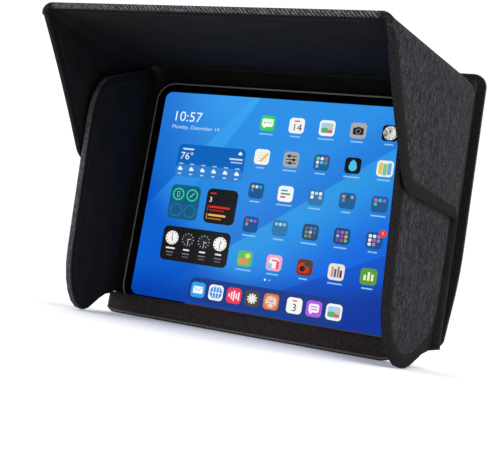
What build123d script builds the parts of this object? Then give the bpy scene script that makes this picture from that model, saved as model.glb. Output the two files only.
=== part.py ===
from build123d import *
import os
from math import cos, hypot, radians, sin, tan

# A folding fabric sun hood around a thirteen-inch tablet, standing upright in use.
# Millimetres. +X is the viewer's right, +Y points away from the viewer, +Z is up.
# The origin is on the floor, midway between the two sides and midway from front to back.
# "Depth" is a distance in front of the tablet's glass, towards the viewer.

# ---------------------------------------------------------------- driving dimensions
TABLET_WIDTH = 281.6
TABLET_HEIGHT = 215.0
TABLET_THICKNESS = 6.4
TABLET_CORNER = 18.0
TABLET_RIM = 1.3
TABLET_FOOT = 11.0
TABLET_BACK = 1.0
BACK_EDGE_RADIUS = 2.0
GLASS_THICKNESS = 0.7
GLASS_GAP = 0.1
DISPLAY_WIDTH = 262.8
DISPLAY_HEIGHT = 197.0
DISPLAY_THICKNESS = 1.1

PANEL = 4.6
FLAP = 3.6
BINDING_WIDTH = 10.0
EDGE_FOLD = 1.0
BINDING_PROUD = 0.4
SKIN = 0.9
HINGE_GAP = 1.2

BACK_HALF_WIDTH = 162.0
BACK_HEIGHT = 254.0
BACK_FOOT = 0.6
BACK_DEPTH = -8.0

VISOR_REACH = 225.5
VISOR_DROP = 10.3
VISOR_HEIGHT_AT_BACK = 248.2
VISOR_HALF_AT_FOLD = 155.2
VISOR_HALF_AT_FRONT = 119.5

FOLD_DEPTH = 13.0
WING_FOLD_X = 150.4
WING_LEAN = 12.0
WING_TOP_REAR = 234.0
WING_TOP_FRONT = 179.5
WING_FRONT_AT_TOP = 135.7
WING_FRONT_AT_FOOT = 113.1
WING_FOLD_STRIP = 1.0
WING_HEEL = (56.0, 20.0)

FLAP_FOOT = 119.0
FLAP_FOOT_DEPTH = 133.5
FLAP_HEM_RISE = 4.0
FLAP_CLEARANCE = 1.2
PATCH = 0.5
PATCH_HEIGHT = 143.0
LOOP_PATCH_ALONG = 94.0
HOOK_PATCH_DEPTH = 106.0

SIDE_WALL = 3.6
SIDE_WALL_FOOT = 22.0
SIDE_WALL_HEIGHT = 236.0

LIP_LEFT = -150.5
LIP_RIGHT = 124.0
LIP_LEFT_CORNER = 8.0
LIP_RIGHT_CORNER = 16.0
LIP_HEIGHT = 18.6
LIP_DEPTH = 6.2
LIP_SKIN = 1.2
LIP_GLASS_GAP = 0.6
PIPING_HEIGHT = 2.6
PIPING_RADIUS = 1.1
PIPING_PROUD = 0.4

GLASS_Y = (VISOR_REACH + BACK_DEPTH - PANEL) / 2
BACK_FACE_Y = GLASS_Y - BACK_DEPTH
FOLD_Y = GLASS_Y - FOLD_DEPTH
FRONT_Y = GLASS_Y - VISOR_REACH
TABLET_MIDDLE = TABLET_FOOT + TABLET_HEIGHT / 2


# ---------------------------------------------------------------- shared shapes
def rounded(points, radii):
    """A flat face whose outline runs through the points, each corner with its own radius."""
    return make_face(FilletPolyline(*points, radius=radii, close=True))


def layer(face, low, high):
    """The face thickened from one height to another above its own plane."""
    return Pos(0, 0, low) * extrude(face, amount=high - low)


def bound_panel(outline, core, window, thickness):
    """A sewn panel, outer face at zero: cover, board and lining, with a binding round the edge.

    The three layers fill the core outline. The binding is a channel that wraps the edge and
    shows on both faces as far in as the window.
    """
    top = BINDING_PROUD
    bottom = thickness - BINDING_PROUD
    cover = layer(core, top, top + SKIN)
    board = layer(core, top + SKIN, bottom - SKIN)
    lining = layer(core, bottom - SKIN, bottom)
    binding = layer(outline, 0, thickness) - layer(window, -1, thickness + 1) - layer(core, top, bottom)
    return {"cover": cover, "board": board, "lining": lining, "binding": binding}


def place(plane, pieces, name):
    """The pieces moved onto a plane, with the panel's name before each piece's name."""
    return {f"{name}_{kind}": plane * piece for kind, piece in pieces.items()}


def other_side(pieces):
    """The same pieces mirrored to the left, from names that start with right."""
    return {name.replace("right", "left"): mirror(piece, about=Plane.YZ) for name, piece in pieces.items()}


# ---------------------------------------------------------------- back panel
def back_panel():
    """The stiff back, with cut-off lower corners."""
    points = [
        (-113, BACK_FOOT), (113, BACK_FOOT), (156.2, 21), (BACK_HALF_WIDTH, 78),
        (BACK_HALF_WIDTH, BACK_HEIGHT), (-BACK_HALF_WIDTH, BACK_HEIGHT), (-BACK_HALF_WIDTH, 78), (-156.2, 21),
    ]
    outline = rounded(points, [20, 20, 7, 450, 12, 12, 450, 7])
    core = offset(outline, amount=-EDGE_FOLD)
    window = offset(outline, amount=-BINDING_WIDTH)
    plane = Plane(origin=(0, BACK_FACE_Y + PANEL, 0), x_dir=(1, 0, 0), z_dir=(0, -1, 0))
    return place(plane, bound_panel(outline, core, window, PANEL), "back")


# ---------------------------------------------------------------- visor
def visor_top(y):
    """Height of the visor's upper face at a place along Y."""
    return VISOR_HEIGHT_AT_BACK - tan(radians(VISOR_DROP)) * (BACK_FACE_Y - y)


def visor_half(y):
    """Half the width over the visor and its two flaps at a place along Y."""
    share = (FOLD_Y - y) / (FOLD_Y - FRONT_Y)
    return VISOR_HALF_AT_FOLD + share * (VISOR_HALF_AT_FRONT - VISOR_HALF_AT_FOLD)


def visor_plane():
    """The visor's upper face: local X across, local Y towards the front, local Z down through it."""
    drop = radians(VISOR_DROP)
    return Plane(origin=(0, FOLD_Y, visor_top(FOLD_Y)), x_dir=(1, 0, 0), z_dir=(0, sin(drop), -cos(drop)))


def visor():
    """The shade over the screen, bound along its front edge."""
    length = (FOLD_Y - FRONT_Y) / cos(radians(VISOR_DROP))
    side_gap = FLAP + HINGE_GAP
    rear = VISOR_HALF_AT_FOLD - side_gap
    front = VISOR_HALF_AT_FRONT - side_gap
    corners = [(-rear, HINGE_GAP), (rear, HINGE_GAP), (front, length), (-front, length)]
    outline = rounded(corners, [0, 0, 3, 3])
    core = outline & Pos(0, -EDGE_FOLD) * outline
    window = Pos(0, length / 2 - BINDING_WIDTH) * Rectangle(2 * BACK_HALF_WIDTH, length)
    return place(visor_plane(), bound_panel(outline, core, window, PANEL), "visor")


def top_spine():
    """The short strip that carries the visor's fold forward from the back panel."""
    rear = visor_half(BACK_FACE_Y)
    run = (BACK_FACE_Y - FOLD_Y) / cos(radians(VISOR_DROP))
    front = VISOR_HALF_AT_FOLD
    points = [(-rear, -run), (rear, -run), (front, -HINGE_GAP), (-front, -HINGE_GAP)]
    strip = visor_plane() * layer(make_face(Polyline(*points, close=True)), 0, PANEL)
    behind = Pos(0, BACK_FACE_Y + PANEL, BACK_HEIGHT) * Box(4 * rear, 2 * PANEL, BACK_HEIGHT)
    return strip - behind


# ---------------------------------------------------------------- wings
def wing_plane():
    """The right wing's outer face: local X forward along the wing, local Y up, local Z inward."""
    across = sin(radians(WING_LEAN))
    along = cos(radians(WING_LEAN))
    return Plane(origin=(WING_FOLD_X, FOLD_Y, 0), x_dir=(-across, -along, 0), z_dir=(-along, across, 0))


def wing_patch():
    """The fuzzy loop patch on the outside of the right wing, under the flap."""
    outline = Pos(LOOP_PATCH_ALONG, PATCH_HEIGHT) * RectangleRounded(34, 18, 3)
    return wing_plane() * layer(outline, -PATCH, BINDING_PROUD)


def wing_outline(rear):
    """The wing's shape, up to a given rear edge: a sloping top, a round toe and a raised heel."""
    slope = (WING_TOP_REAR - WING_TOP_FRONT) / (WING_FRONT_AT_TOP - HINGE_GAP)
    top = WING_TOP_REAR + slope * (HINGE_GAP - rear)
    heel_along, heel_rise = WING_HEEL
    heel = heel_rise * (heel_along - rear) / (heel_along - HINGE_GAP)
    points = [
        (rear, top), (WING_FRONT_AT_TOP, WING_TOP_FRONT), (WING_FRONT_AT_FOOT, 0),
        (heel_along, 0), (rear, heel),
    ]
    return rounded(points, [6, 44, 54, 50, 45])


def right_wing():
    """A side wing, bound all round, with only a narrow strip of tape beside its fold."""
    outline = wing_outline(HINGE_GAP)
    core = offset(outline, amount=-EDGE_FOLD)
    window = offset(wing_outline(HINGE_GAP + WING_FOLD_STRIP - BINDING_WIDTH), amount=-BINDING_WIDTH)
    pieces = place(wing_plane(), bound_panel(outline, core, window, PANEL), "right_wing")
    pieces["right_wing_loop_patch"] = wing_patch()
    return pieces


# ---------------------------------------------------------------- flaps
def wing_face_x(y):
    """Where the right wing's outer face is at a place along Y."""
    return WING_FOLD_X - tan(radians(WING_LEAN)) * (FOLD_Y - y)


def flap_x(y, z):
    """The right flap's outer face: from the visor's edge straight down to just outside the wing."""
    hem_rear = wing_face_x(FOLD_Y) + FLAP + FLAP_CLEARANCE
    hem_front = wing_face_x(GLASS_Y - FLAP_FOOT_DEPTH) + FLAP + FLAP_CLEARANCE
    along = (FOLD_Y - y) / (FLAP_FOOT_DEPTH - FOLD_DEPTH)
    hem = hem_rear + along * (hem_front - hem_rear)
    down = (visor_top(y) - z) / (visor_top(y) - FLAP_FOOT)
    return visor_half(y) + down * (hem - visor_half(y))


def flap_slab(outer, inner):
    """A ruled slab along the flap, between two distances in from its outer face."""
    sections = []
    for y in (FOLD_Y, FRONT_Y):
        high = visor_top(y) + PANEL
        low = FLAP_FOOT - PANEL
        corners = [(high, outer), (high, inner), (low, inner), (low, outer)]
        line = Polyline(*[(flap_x(y, z) - inset, y, z) for z, inset in corners], close=True)
        sections.append(make_face(line))
    return loft(sections, ruled=True)


def side_prism(points, radii):
    """A block through the right side, with its outline given as (Y, Z) points."""
    face = make_face(FilletPolyline(*[(0, y, z) for y, z in points], radius=radii, close=True))
    return extrude(face, amount=BACK_HALF_WIDTH, dir=(1, 0, 0))


def flap_hook_patch():
    """The hook patch inside the right flap, facing the loop patch on the wing."""
    window = Pos(BACK_HALF_WIDTH / 2, GLASS_Y - HOOK_PATCH_DEPTH, PATCH_HEIGHT) * Box(BACK_HALF_WIDTH, 30, 14)
    return flap_slab(FLAP - BINDING_PROUD, FLAP + PATCH) & window


def right_flap():
    """The side flap that hangs from the visor and lies against the wing, bound in front and below."""
    rear = FOLD_Y - HINGE_GAP
    hem_y = GLASS_Y - FLAP_FOOT_DEPTH
    points = [
        (rear, visor_top(rear)), (FRONT_Y, visor_top(FRONT_Y)),
        (hem_y, FLAP_FOOT), (rear, FLAP_FOOT + FLAP_HEM_RISE),
    ]
    outline = side_prism(points, [18, 3, 25, 3])
    edge_run = hypot(hem_y - FRONT_Y, visor_top(FRONT_Y) - FLAP_FOOT)
    normal_y = (visor_top(FRONT_Y) - FLAP_FOOT) / edge_run
    normal_z = (hem_y - FRONT_Y) / edge_run
    back_per_up = (1 - normal_z) / normal_y
    core = outline & Pos(0, back_per_up * EDGE_FOLD, EDGE_FOLD) * outline
    window = Pos(0, back_per_up * BINDING_WIDTH, BINDING_WIDTH) * outline
    top = BINDING_PROUD
    bottom = FLAP - BINDING_PROUD
    skin = SKIN * FLAP / PANEL
    return {
        "right_flap_cover": flap_slab(top, top + skin) & core,
        "right_flap_board": flap_slab(top + skin, bottom - skin) & core,
        "right_flap_lining": flap_slab(bottom - skin, bottom) & core,
        "right_flap_binding": (flap_slab(0, FLAP) & outline) - window - (flap_slab(top, bottom) & core),
        "right_flap_hook_patch": flap_hook_patch(),
    }


# ---------------------------------------------------------------- fold seams
def rod(start, end, radius):
    """A round cord of thread and tape along a fold."""
    path = Line(start, end)
    return sweep(Plane(origin=path @ 0, z_dir=path % 0) * Circle(radius), path=path)


HOOD_SEAM_RADIUS = 0.8
FLAP_SEAM_RADIUS = 0.45
WING_SEAM = (56.0, 228.0)


def hood_fold_seams():
    """The folds that the visor and the two wings turn on."""
    x = VISOR_HALF_AT_FOLD - FLAP - HINGE_GAP
    across = rod((-x, FOLD_Y, visor_top(FOLD_Y)), (x, FOLD_Y, visor_top(FOLD_Y)), HOOD_SEAM_RADIUS)
    foot, head = [(WING_FOLD_X, FOLD_Y, z) for z in WING_SEAM]
    upright = rod(foot, head, HOOD_SEAM_RADIUS)
    return Compound(children=[across, upright, mirror(upright, about=Plane.YZ)])


def flap_fold_seams():
    """The folds between the visor and its two flaps."""
    inset = FLAP + HINGE_GAP / 2
    ends = [(visor_half(y) - inset, y, visor_top(y)) for y in (FOLD_Y - 20, FRONT_Y + 6)]
    seam = rod(ends[0], ends[1], FLAP_SEAM_RADIUS)
    return Compound(children=[seam, mirror(seam, about=Plane.YZ)])


# ---------------------------------------------------------------- side walls, lip and grip pads
def right_side_wall():
    """The narrow wall that carries the right wing's fold forward from the back panel."""
    depth = FOLD_DEPTH - HINGE_GAP - BACK_DEPTH
    height = SIDE_WALL_HEIGHT - SIDE_WALL_FOOT
    corner = (WING_FOLD_X - BINDING_PROUD, BACK_FACE_Y - depth, SIDE_WALL_FOOT)
    return Pos(*corner) * Box(SIDE_WALL, depth, height, align=(Align.MIN, Align.MIN, Align.MIN))


def lip_block(front_depth, foot, height):
    """A trough along the tablet's foot: a floor under the tablet and a low wall before its glass.

    It stops short of the right side, so that a charging lead can reach the tablet's corner.
    """
    points = [
        (BACK_FACE_Y, foot), (GLASS_Y - front_depth, foot), (GLASS_Y - front_depth, height),
        (GLASS_Y - LIP_GLASS_GAP, height), (GLASS_Y - LIP_GLASS_GAP, TABLET_FOOT - GLASS_GAP),
        (BACK_FACE_Y, TABLET_FOOT - GLASS_GAP),
    ]
    profile = make_face(Polyline(*[(LIP_LEFT, y, z) for y, z in points], close=True))
    block = extrude(profile, amount=LIP_RIGHT - LIP_LEFT, dir=(1, 0, 0))
    above = 2 * LIP_HEIGHT
    corners = [(LIP_LEFT, foot), (LIP_RIGHT, foot), (LIP_RIGHT, above), (LIP_LEFT, above)]
    front = rounded(corners, [LIP_LEFT_CORNER, LIP_RIGHT_CORNER, 0, 0])
    return block & extrude(Plane.XZ * front, amount=2 * GLASS_Y, both=True)


def lip():
    """The padded strip that holds the tablet's lower edge."""
    whole = lip_block(LIP_DEPTH, 0, LIP_HEIGHT)
    cushion = lip_block(LIP_DEPTH - LIP_SKIN, LIP_SKIN, LIP_HEIGHT - LIP_SKIN)
    line_y = GLASS_Y - LIP_DEPTH - PIPING_PROUD
    start = (LIP_LEFT + LIP_LEFT_CORNER, line_y, PIPING_HEIGHT)
    end = (LIP_RIGHT - LIP_RIGHT_CORNER, line_y, PIPING_HEIGHT)
    piping = rod(start, end, PIPING_RADIUS) - whole
    return {"lip_cushion": cushion, "lip_cover": whole - cushion, "lip_piping": piping}


PAD_X = 85.0
PAD_WIDTH = 40.0
PAD_HEIGHT = 140.0
PAD_GAP = 0.3


def grip_pads():
    """Two tacky pads on the lining that keep the tablet from rocking."""
    thickness = -BACK_DEPTH - TABLET_THICKNESS - PAD_GAP + BINDING_PROUD
    middle_y = BACK_FACE_Y + BINDING_PROUD - thickness / 2
    pads = [Pos(x, middle_y, TABLET_MIDDLE) * Box(PAD_WIDTH, thickness, PAD_HEIGHT) for x in (-PAD_X, PAD_X)]
    return Compound(children=pads)


# ---------------------------------------------------------------- tablet
def tablet_plane():
    """The glass: local X across, local Y up, local Z out towards the viewer."""
    return Plane(origin=(0, GLASS_Y, TABLET_MIDDLE), x_dir=(1, 0, 0), z_dir=(0, -1, 0))


def tablet_blank(inset):
    """The tablet's rounded outline, moved in by an even amount."""
    return RectangleRounded(TABLET_WIDTH - 2 * inset, TABLET_HEIGHT - 2 * inset, TABLET_CORNER - inset)


BUTTON_DEPTH = 3.4
BUTTON_WIDTH = 2.6
BUTTON_PROUD = 0.5
BUTTON_PLAY = 0.15
BUTTON_TRAVEL_GAP = 0.3
BUTTON_FOOT = 0.6
BUTTONS = {
    "power_button": (Location((-TABLET_WIDTH / 2, 76, -BUTTON_DEPTH), (0, 0, 90)), 16.0),
    "volume_up_button": (Location((-98, TABLET_HEIGHT / 2, -BUTTON_DEPTH)), 11.0),
    "volume_down_button": (Location((-82, TABLET_HEIGHT / 2, -BUTTON_DEPTH)), 11.0),
}


def button_key(length):
    """A key across local X that points out along local Y, with a wider foot inside the wall."""
    reach = BUTTON_PROUD + TABLET_RIM + BUTTON_TRAVEL_GAP + BUTTON_FOOT
    face = RectangleRounded(length, BUTTON_WIDTH, BUTTON_WIDTH / 2 - 0.1)
    key = extrude(Plane.XZ.offset(-BUTTON_PROUD) * face, amount=reach)
    foot_middle = -TABLET_RIM - BUTTON_TRAVEL_GAP - BUTTON_FOOT / 2
    foot = Pos(0, foot_middle, 0) * Box(length + 2, BUTTON_FOOT, BUTTON_WIDTH)
    return key + foot


def button_slot(length):
    """The opening in the tablet's wall that a key slides in."""
    face = RectangleRounded(length + 2 * BUTTON_PLAY, BUTTON_WIDTH + 2 * BUTTON_PLAY, BUTTON_WIDTH / 2)
    return extrude(Plane.XZ * face, amount=2 * TABLET_RIM, both=True)


PORT = Location((TABLET_WIDTH / 2, 0, -BUTTON_DEPTH), (0, 0, -90))
PORT_WIDTH = 9.0
PORT_HEIGHT = 3.2
PORT_LENGTH = 7.0
PORT_WALL = 0.3
PORT_END = 0.6
TONGUE = (6.2, 5.6, 0.7)


def port_outline(inset):
    """The socket's flat-sided outline, moved in by an even amount."""
    return RectangleRounded(PORT_WIDTH - 2 * inset, PORT_HEIGHT - 2 * inset, 1.5 - inset)


def port_shell():
    """The charging socket: a flat-sided tube closed at its inner end."""
    outer = extrude(Plane.XZ * port_outline(0), amount=PORT_LENGTH)
    inner = extrude(Plane.XZ * port_outline(PORT_WALL), amount=PORT_LENGTH - PORT_END)
    tongue = Pos(0, TONGUE[1] / 2 - PORT_LENGTH + PORT_END, 0) * Box(*TONGUE)
    return outer - inner + tongue


def tablet_housing():
    """The one-piece metal tray, with its slots and a soft edge at the back."""
    tray = layer(tablet_blank(0), -TABLET_THICKNESS, 0)
    tray = fillet(tray.faces().sort_by(Axis.Z)[0].edges(), BACK_EDGE_RADIUS)
    tray -= layer(tablet_blank(TABLET_RIM), TABLET_BACK - TABLET_THICKNESS, 1)
    for location, length in BUTTONS.values():
        tray -= location * button_slot(length)
    return tray - PORT * extrude(Plane.XZ * port_outline(0), amount=2 * TABLET_RIM, both=True)


INNER_MIDDLE = -3.7
INNER_THICKNESS = 2.8


def tablet_speakers():
    """Four speaker boxes in the tablet's corners."""
    boxes = [Pos(x, y, INNER_MIDDLE) * Box(30, 22, INNER_THICKNESS) for x in (-112, 112) for y in (-88, 88)]
    return Compound(children=boxes)


def tablet_batteries():
    """Two flat cells, one in each half."""
    cells = [Pos(x, 0, INNER_MIDDLE) * Box(98, 140, INNER_THICKNESS) for x in (-62, 62)]
    return Compound(children=cells)


FRONT_CAMERA = (0.0, TABLET_HEIGHT / 2 - 4.4)
REAR_CAMERA = (-122.0, 90.0)


def tablet():
    """The tablet's own pieces, in the plane of its glass."""
    glass_back = -GLASS_THICKNESS
    display = Rectangle(DISPLAY_WIDTH + 4, DISPLAY_HEIGHT + 4)
    pieces = {
        "housing": tablet_housing(),
        "glass": layer(tablet_blank(TABLET_RIM + GLASS_GAP), glass_back, 0),
        "display": layer(display, glass_back - DISPLAY_THICKNESS, glass_back),
        "battery_cells": tablet_batteries(),
        "logic_board": Pos(0, 0, INNER_MIDDLE) * Box(16, 180, 1.6),
        "speakers": tablet_speakers(),
        "front_camera": layer(Pos(*FRONT_CAMERA) * Circle(1.7), glass_back - 2, glass_back),
        "rear_camera": layer(Pos(*REAR_CAMERA) * Circle(7.5), -TABLET_THICKNESS - 1, -TABLET_THICKNESS),
        "charging_port": PORT * port_shell(),
    }
    for name, (location, length) in BUTTONS.items():
        pieces[name] = location * button_key(length)
    return place(tablet_plane(), pieces, "tablet")


# ---------------------------------------------------------------- assembly
nodes = {}
nodes.update(back_panel())
nodes["top_spine"] = top_spine()
nodes["hood_fold_seams"] = hood_fold_seams()
nodes["grip_pads"] = grip_pads()
nodes.update(lip())
nodes.update(visor())
nodes["flap_fold_seams"] = flap_fold_seams()
nodes.update(tablet())
right_pieces = {"right_side_wall": right_side_wall(), **right_wing(), **right_flap()}
nodes.update(right_pieces)
nodes.update(other_side(right_pieces))

os.makedirs("parts", exist_ok=True)
for node_name, shape in nodes.items():
    export_step(shape, f"parts/{node_name}.step")
print(len(nodes), "nodes written")
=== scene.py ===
from math import cos, radians, sin, tan

import bpy
import numpy as np
from bpy.props import FloatProperty, FloatVectorProperty, PointerProperty
from mathutils import Matrix, Vector


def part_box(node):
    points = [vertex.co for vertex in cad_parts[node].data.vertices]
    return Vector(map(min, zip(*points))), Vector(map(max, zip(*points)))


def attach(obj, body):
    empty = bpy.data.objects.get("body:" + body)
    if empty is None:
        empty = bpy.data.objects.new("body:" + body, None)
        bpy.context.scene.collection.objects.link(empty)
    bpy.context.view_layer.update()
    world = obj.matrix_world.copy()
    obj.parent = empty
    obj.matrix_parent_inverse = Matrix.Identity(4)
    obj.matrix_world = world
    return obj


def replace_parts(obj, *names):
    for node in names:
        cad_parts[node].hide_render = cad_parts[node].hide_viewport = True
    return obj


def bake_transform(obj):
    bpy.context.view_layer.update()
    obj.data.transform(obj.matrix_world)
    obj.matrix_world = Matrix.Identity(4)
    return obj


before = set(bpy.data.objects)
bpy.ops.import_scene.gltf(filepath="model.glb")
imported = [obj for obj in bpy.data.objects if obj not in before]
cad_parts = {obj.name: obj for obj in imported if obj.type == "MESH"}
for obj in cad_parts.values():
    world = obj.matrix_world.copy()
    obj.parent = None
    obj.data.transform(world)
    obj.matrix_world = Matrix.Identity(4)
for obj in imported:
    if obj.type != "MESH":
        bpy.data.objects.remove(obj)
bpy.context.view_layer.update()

# A fabric sun hood around a tablet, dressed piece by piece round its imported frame.
# Shapes are worked out in millimetres and put into meshes in metres. +X is the viewer's
# right, +Y points away from the viewer and +Z is up. "Height" over a panel is measured
# inwards from its outer face.

bl_info = {
    "name": "Tablet Sun Hood",
    "version": (1, 0, 0),
    "blender": (4, 5, 0),
    "location": "View3D > Sidebar > Sun Hood",
    "description": "Makes the cloth, tape, padding and lit screen of a folding tablet sun hood",
    "category": "Add Mesh",
}

MM = 0.001


# ---------------------------------------------------------------- sizes, in millimetres
def face_of(node, corner, axis):
    """One coordinate of a node's box: corner 0 is its lowest and 1 its highest."""
    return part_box(node)[corner][axis] / MM


GLASS_Y = face_of("tablet_glass", 0, 1)
SCREEN_WIDTH = 262.8
SCREEN_HEIGHT = 197.0
SCREEN_CORNER = 7.0
SCREEN_MIDDLE = (face_of("tablet_glass", 0, 2) + face_of("tablet_glass", 1, 2)) / 2

PANEL = 4.6
FLAP = 3.6
HINGE_GAP = 1.2
CORE_INSET = 1.0

BACK_FACE_Y = GLASS_Y + 8.0
BACK_REAR_Y = BACK_FACE_Y + PANEL
FOLD_Y = GLASS_Y - 13.0
FRONT_Y = GLASS_Y - 225.5

BACK_OUTLINE = [
    (-113, 0.6), (113, 0.6), (156.2, 21), (162, 78), (162, 254), (-162, 254), (-162, 78), (-156.2, 21)
]
BACK_CORNERS = [20, 20, 7, 450, 12, 12, 450, 7]

VISOR_DROP = radians(10.3)
VISOR_HEIGHT_AT_BACK = 248.2
VISOR_HALF_REAR = 155.2
VISOR_HALF_FRONT = 119.5
SHOULDER_REAR = 18.0
SHOULDER_FRONT = 6.5

WING_X = 150.4
WING_LEAN = radians(12.0)
WING_OUTLINE = [(1.2, 234), (135.7, 179.5), (113.1, 0), (56, 0), (1.2, 20)]
WING_CORNERS = [6, 44, 54, 50, 45]
HEEL_MIDDLE_Z = 51.5
WEB_HEIGHT = 222.0
WEB_HALF_THICK = 0.45
WING_TAPE_SHARES = [1.0, 1.0, 1.0, 1.0, 0.12]

FLAP_FOOT = 119.0
FLAP_FOOT_Y = GLASS_Y - 133.5
FLAP_HEM_RISE = 4.0
HEM_X_REAR = WING_X + FLAP + 1.2
HEM_X_FRONT = WING_X - tan(WING_LEAN) * (FOLD_Y - FLAP_FOOT_Y) + FLAP + 1.2

LIP_LEFT = -150.5
LIP_RIGHT = 124.0
LIP_HEIGHT = 18.6
LIP_DEPTH = 6.2
LIP_END_LEFT = 8.0
LIP_END_RIGHT = 16.0


# ---------------------------------------------------------------- what a user would change
class HoodSizes(bpy.types.PropertyGroup):
    crown: FloatProperty(
        name="Panel crown", description="How far the cloth stands up in the middle of a panel",
        default=0.9 * MM, min=0, max=3 * MM, unit="LENGTH"
    )
    ripple: FloatProperty(
        name="Ripple", description="Height of the slow waves in stretched cloth", default=0.16 * MM,
        min=0, max=1 * MM, unit="LENGTH"
    )
    stitch: FloatProperty(
        name="Stitch", description="Distance from one stitch to the next", default=3.2 * MM, min=1.5 * MM,
        max=8 * MM, unit="LENGTH"
    )
    thread: FloatProperty(
        name="Thread", description="Thickness of the sewing thread", default=0.5 * MM, min=0.2 * MM,
        max=1 * MM, unit="LENGTH"
    )


class HoodColours(bpy.types.PropertyGroup):
    cloth: FloatVectorProperty(
        name="Outer cloth", description="The middle shade of the heather cloth", subtype="COLOR", size=3,
        default=(0.0200, 0.0190, 0.0222), min=0, max=1
    )
    lining: FloatVectorProperty(
        name="Lining", description="The brushed lining", subtype="COLOR", size=3,
        default=(0.0106, 0.0100, 0.0097), min=0, max=1
    )
    tape: FloatVectorProperty(
        name="Tape", description="The ribbed binding tape", subtype="COLOR", size=3,
        default=(0.0072, 0.0070, 0.0078), min=0, max=1
    )
    screen_glow: FloatProperty(
        name="Screen glow", description="How brightly the screen is lit", default=1.0, min=0, max=5,
        subtype="FACTOR"
    )


# ---------------------------------------------------------------- meshes from whole arrays
def grid_faces(rows, columns, closed_rows):
    """Corner numbers of the faces over a grid whose columns go round.

    Quads join each point to the next column and the next row. Rows either go round too, or
    end in a fan at each end, about two points added after the grid.
    """
    index = np.arange(rows * columns).reshape(rows, columns)
    beside = np.roll(index, -1, axis=1)
    below = np.roll(index, -1, axis=0)
    diagonal = np.roll(beside, -1, axis=0)
    last = rows if closed_rows else rows - 1
    quads = np.stack([index, beside, diagonal, below], -1)[:last].reshape(-1, 4)
    if closed_rows:
        return quads, np.zeros((0, 3), int)
    first_pole = np.full(columns, rows * columns)
    top = np.stack([first_pole, beside[0], index[0]], -1)
    bottom = np.stack([first_pole + 1, index[-1], beside[-1]], -1)
    return quads, np.concatenate([top, bottom])


def grid_corner_uv(uv, closed_rows):
    """The pattern place of every corner of those faces, from a grid one column (and row) longer."""
    a, b = uv[:-1, :-1], uv[:-1, 1:]
    d, c = uv[1:, :-1], uv[1:, 1:]
    quads = np.stack([a, b, c, d], 2).reshape(-1, 4, 2)
    if closed_rows:
        return quads, np.zeros((0, 3, 2))
    rims = ((uv[0], slice(1, None), slice(None, -1)), (uv[-1], slice(None, -1), slice(1, None)))
    tops = [np.stack([row.mean(0)[None].repeat(len(row) - 1, 0), row[i], row[j]], 1) for row, i, j in rims]
    return quads, np.concatenate(tops)


def surface(name, points, uv, material, closed_rows=False, tints=None, sharp=50.0):
    """A closed mesh over one grid of points, or over many grids alike.

    points is (rows, columns, 3) or (copies, rows, columns, 3) in millimetres. The enclosed
    volume, a third of the sum of each face's point dotted with its normal and area, says
    which way the faces point, and they are turned to point out.
    """
    grids = points if points.ndim == 4 else points[None]
    copies, rows, columns = grids.shape[:3]
    quads, fans = grid_faces(rows, columns, closed_rows)
    each = grids.reshape(copies, -1, 3)
    if not closed_rows:
        each = np.concatenate([each, grids[:, :1].mean(2), grids[:, -1:].mean(2)], 1)
    first = each[0]
    triangles = np.concatenate([quads[:, [0, 1, 2]], quads[:, [0, 2, 3]], fans])
    a, b, c = (first[triangles[:, i]] for i in range(3))
    inside_out = float((a * np.cross(b, c)).sum()) < 0
    quad_uv, fan_uv = grid_corner_uv(uv, closed_rows)
    if inside_out:
        quads, fans, quad_uv, fan_uv = (x[:, ::-1] for x in (quads, fans, quad_uv, fan_uv))
    steps = np.arange(copies)[:, None, None] * each.shape[1]
    faces = (quads[None] + steps).reshape(-1, 4).tolist() + (fans[None] + steps).reshape(-1, 3).tolist()
    mesh = bpy.data.meshes.new(name)
    mesh.from_pydata((each.reshape(-1, 3) * MM).tolist(), [], faces)
    corners = np.concatenate(
        [np.tile(quad_uv.reshape(-1, 2), (copies, 1)), np.tile(fan_uv.reshape(-1, 2), (copies, 1))]
    )
    layer = mesh.uv_layers.new(name="cloth")
    layer.data.foreach_set("uv", (corners * MM).astype(np.float32).ravel())
    mesh.polygons.foreach_set("use_smooth", np.ones(len(faces), bool))
    mesh.set_sharp_from_angle(angle=radians(sharp))
    if tints is not None:
        colour = mesh.attributes.new("tint", "FLOAT_COLOR", "POINT")
        shades = np.repeat(np.asarray(tints, float), each.shape[1], axis=0)
        colour.data.foreach_set("color", np.c_[shades, np.ones(len(shades))].astype(np.float32).ravel())
    mesh.materials.append(material)
    mesh.update()
    made = bpy.data.objects.new(name, mesh)
    bpy.context.scene.collection.objects.link(made)
    return made


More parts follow.
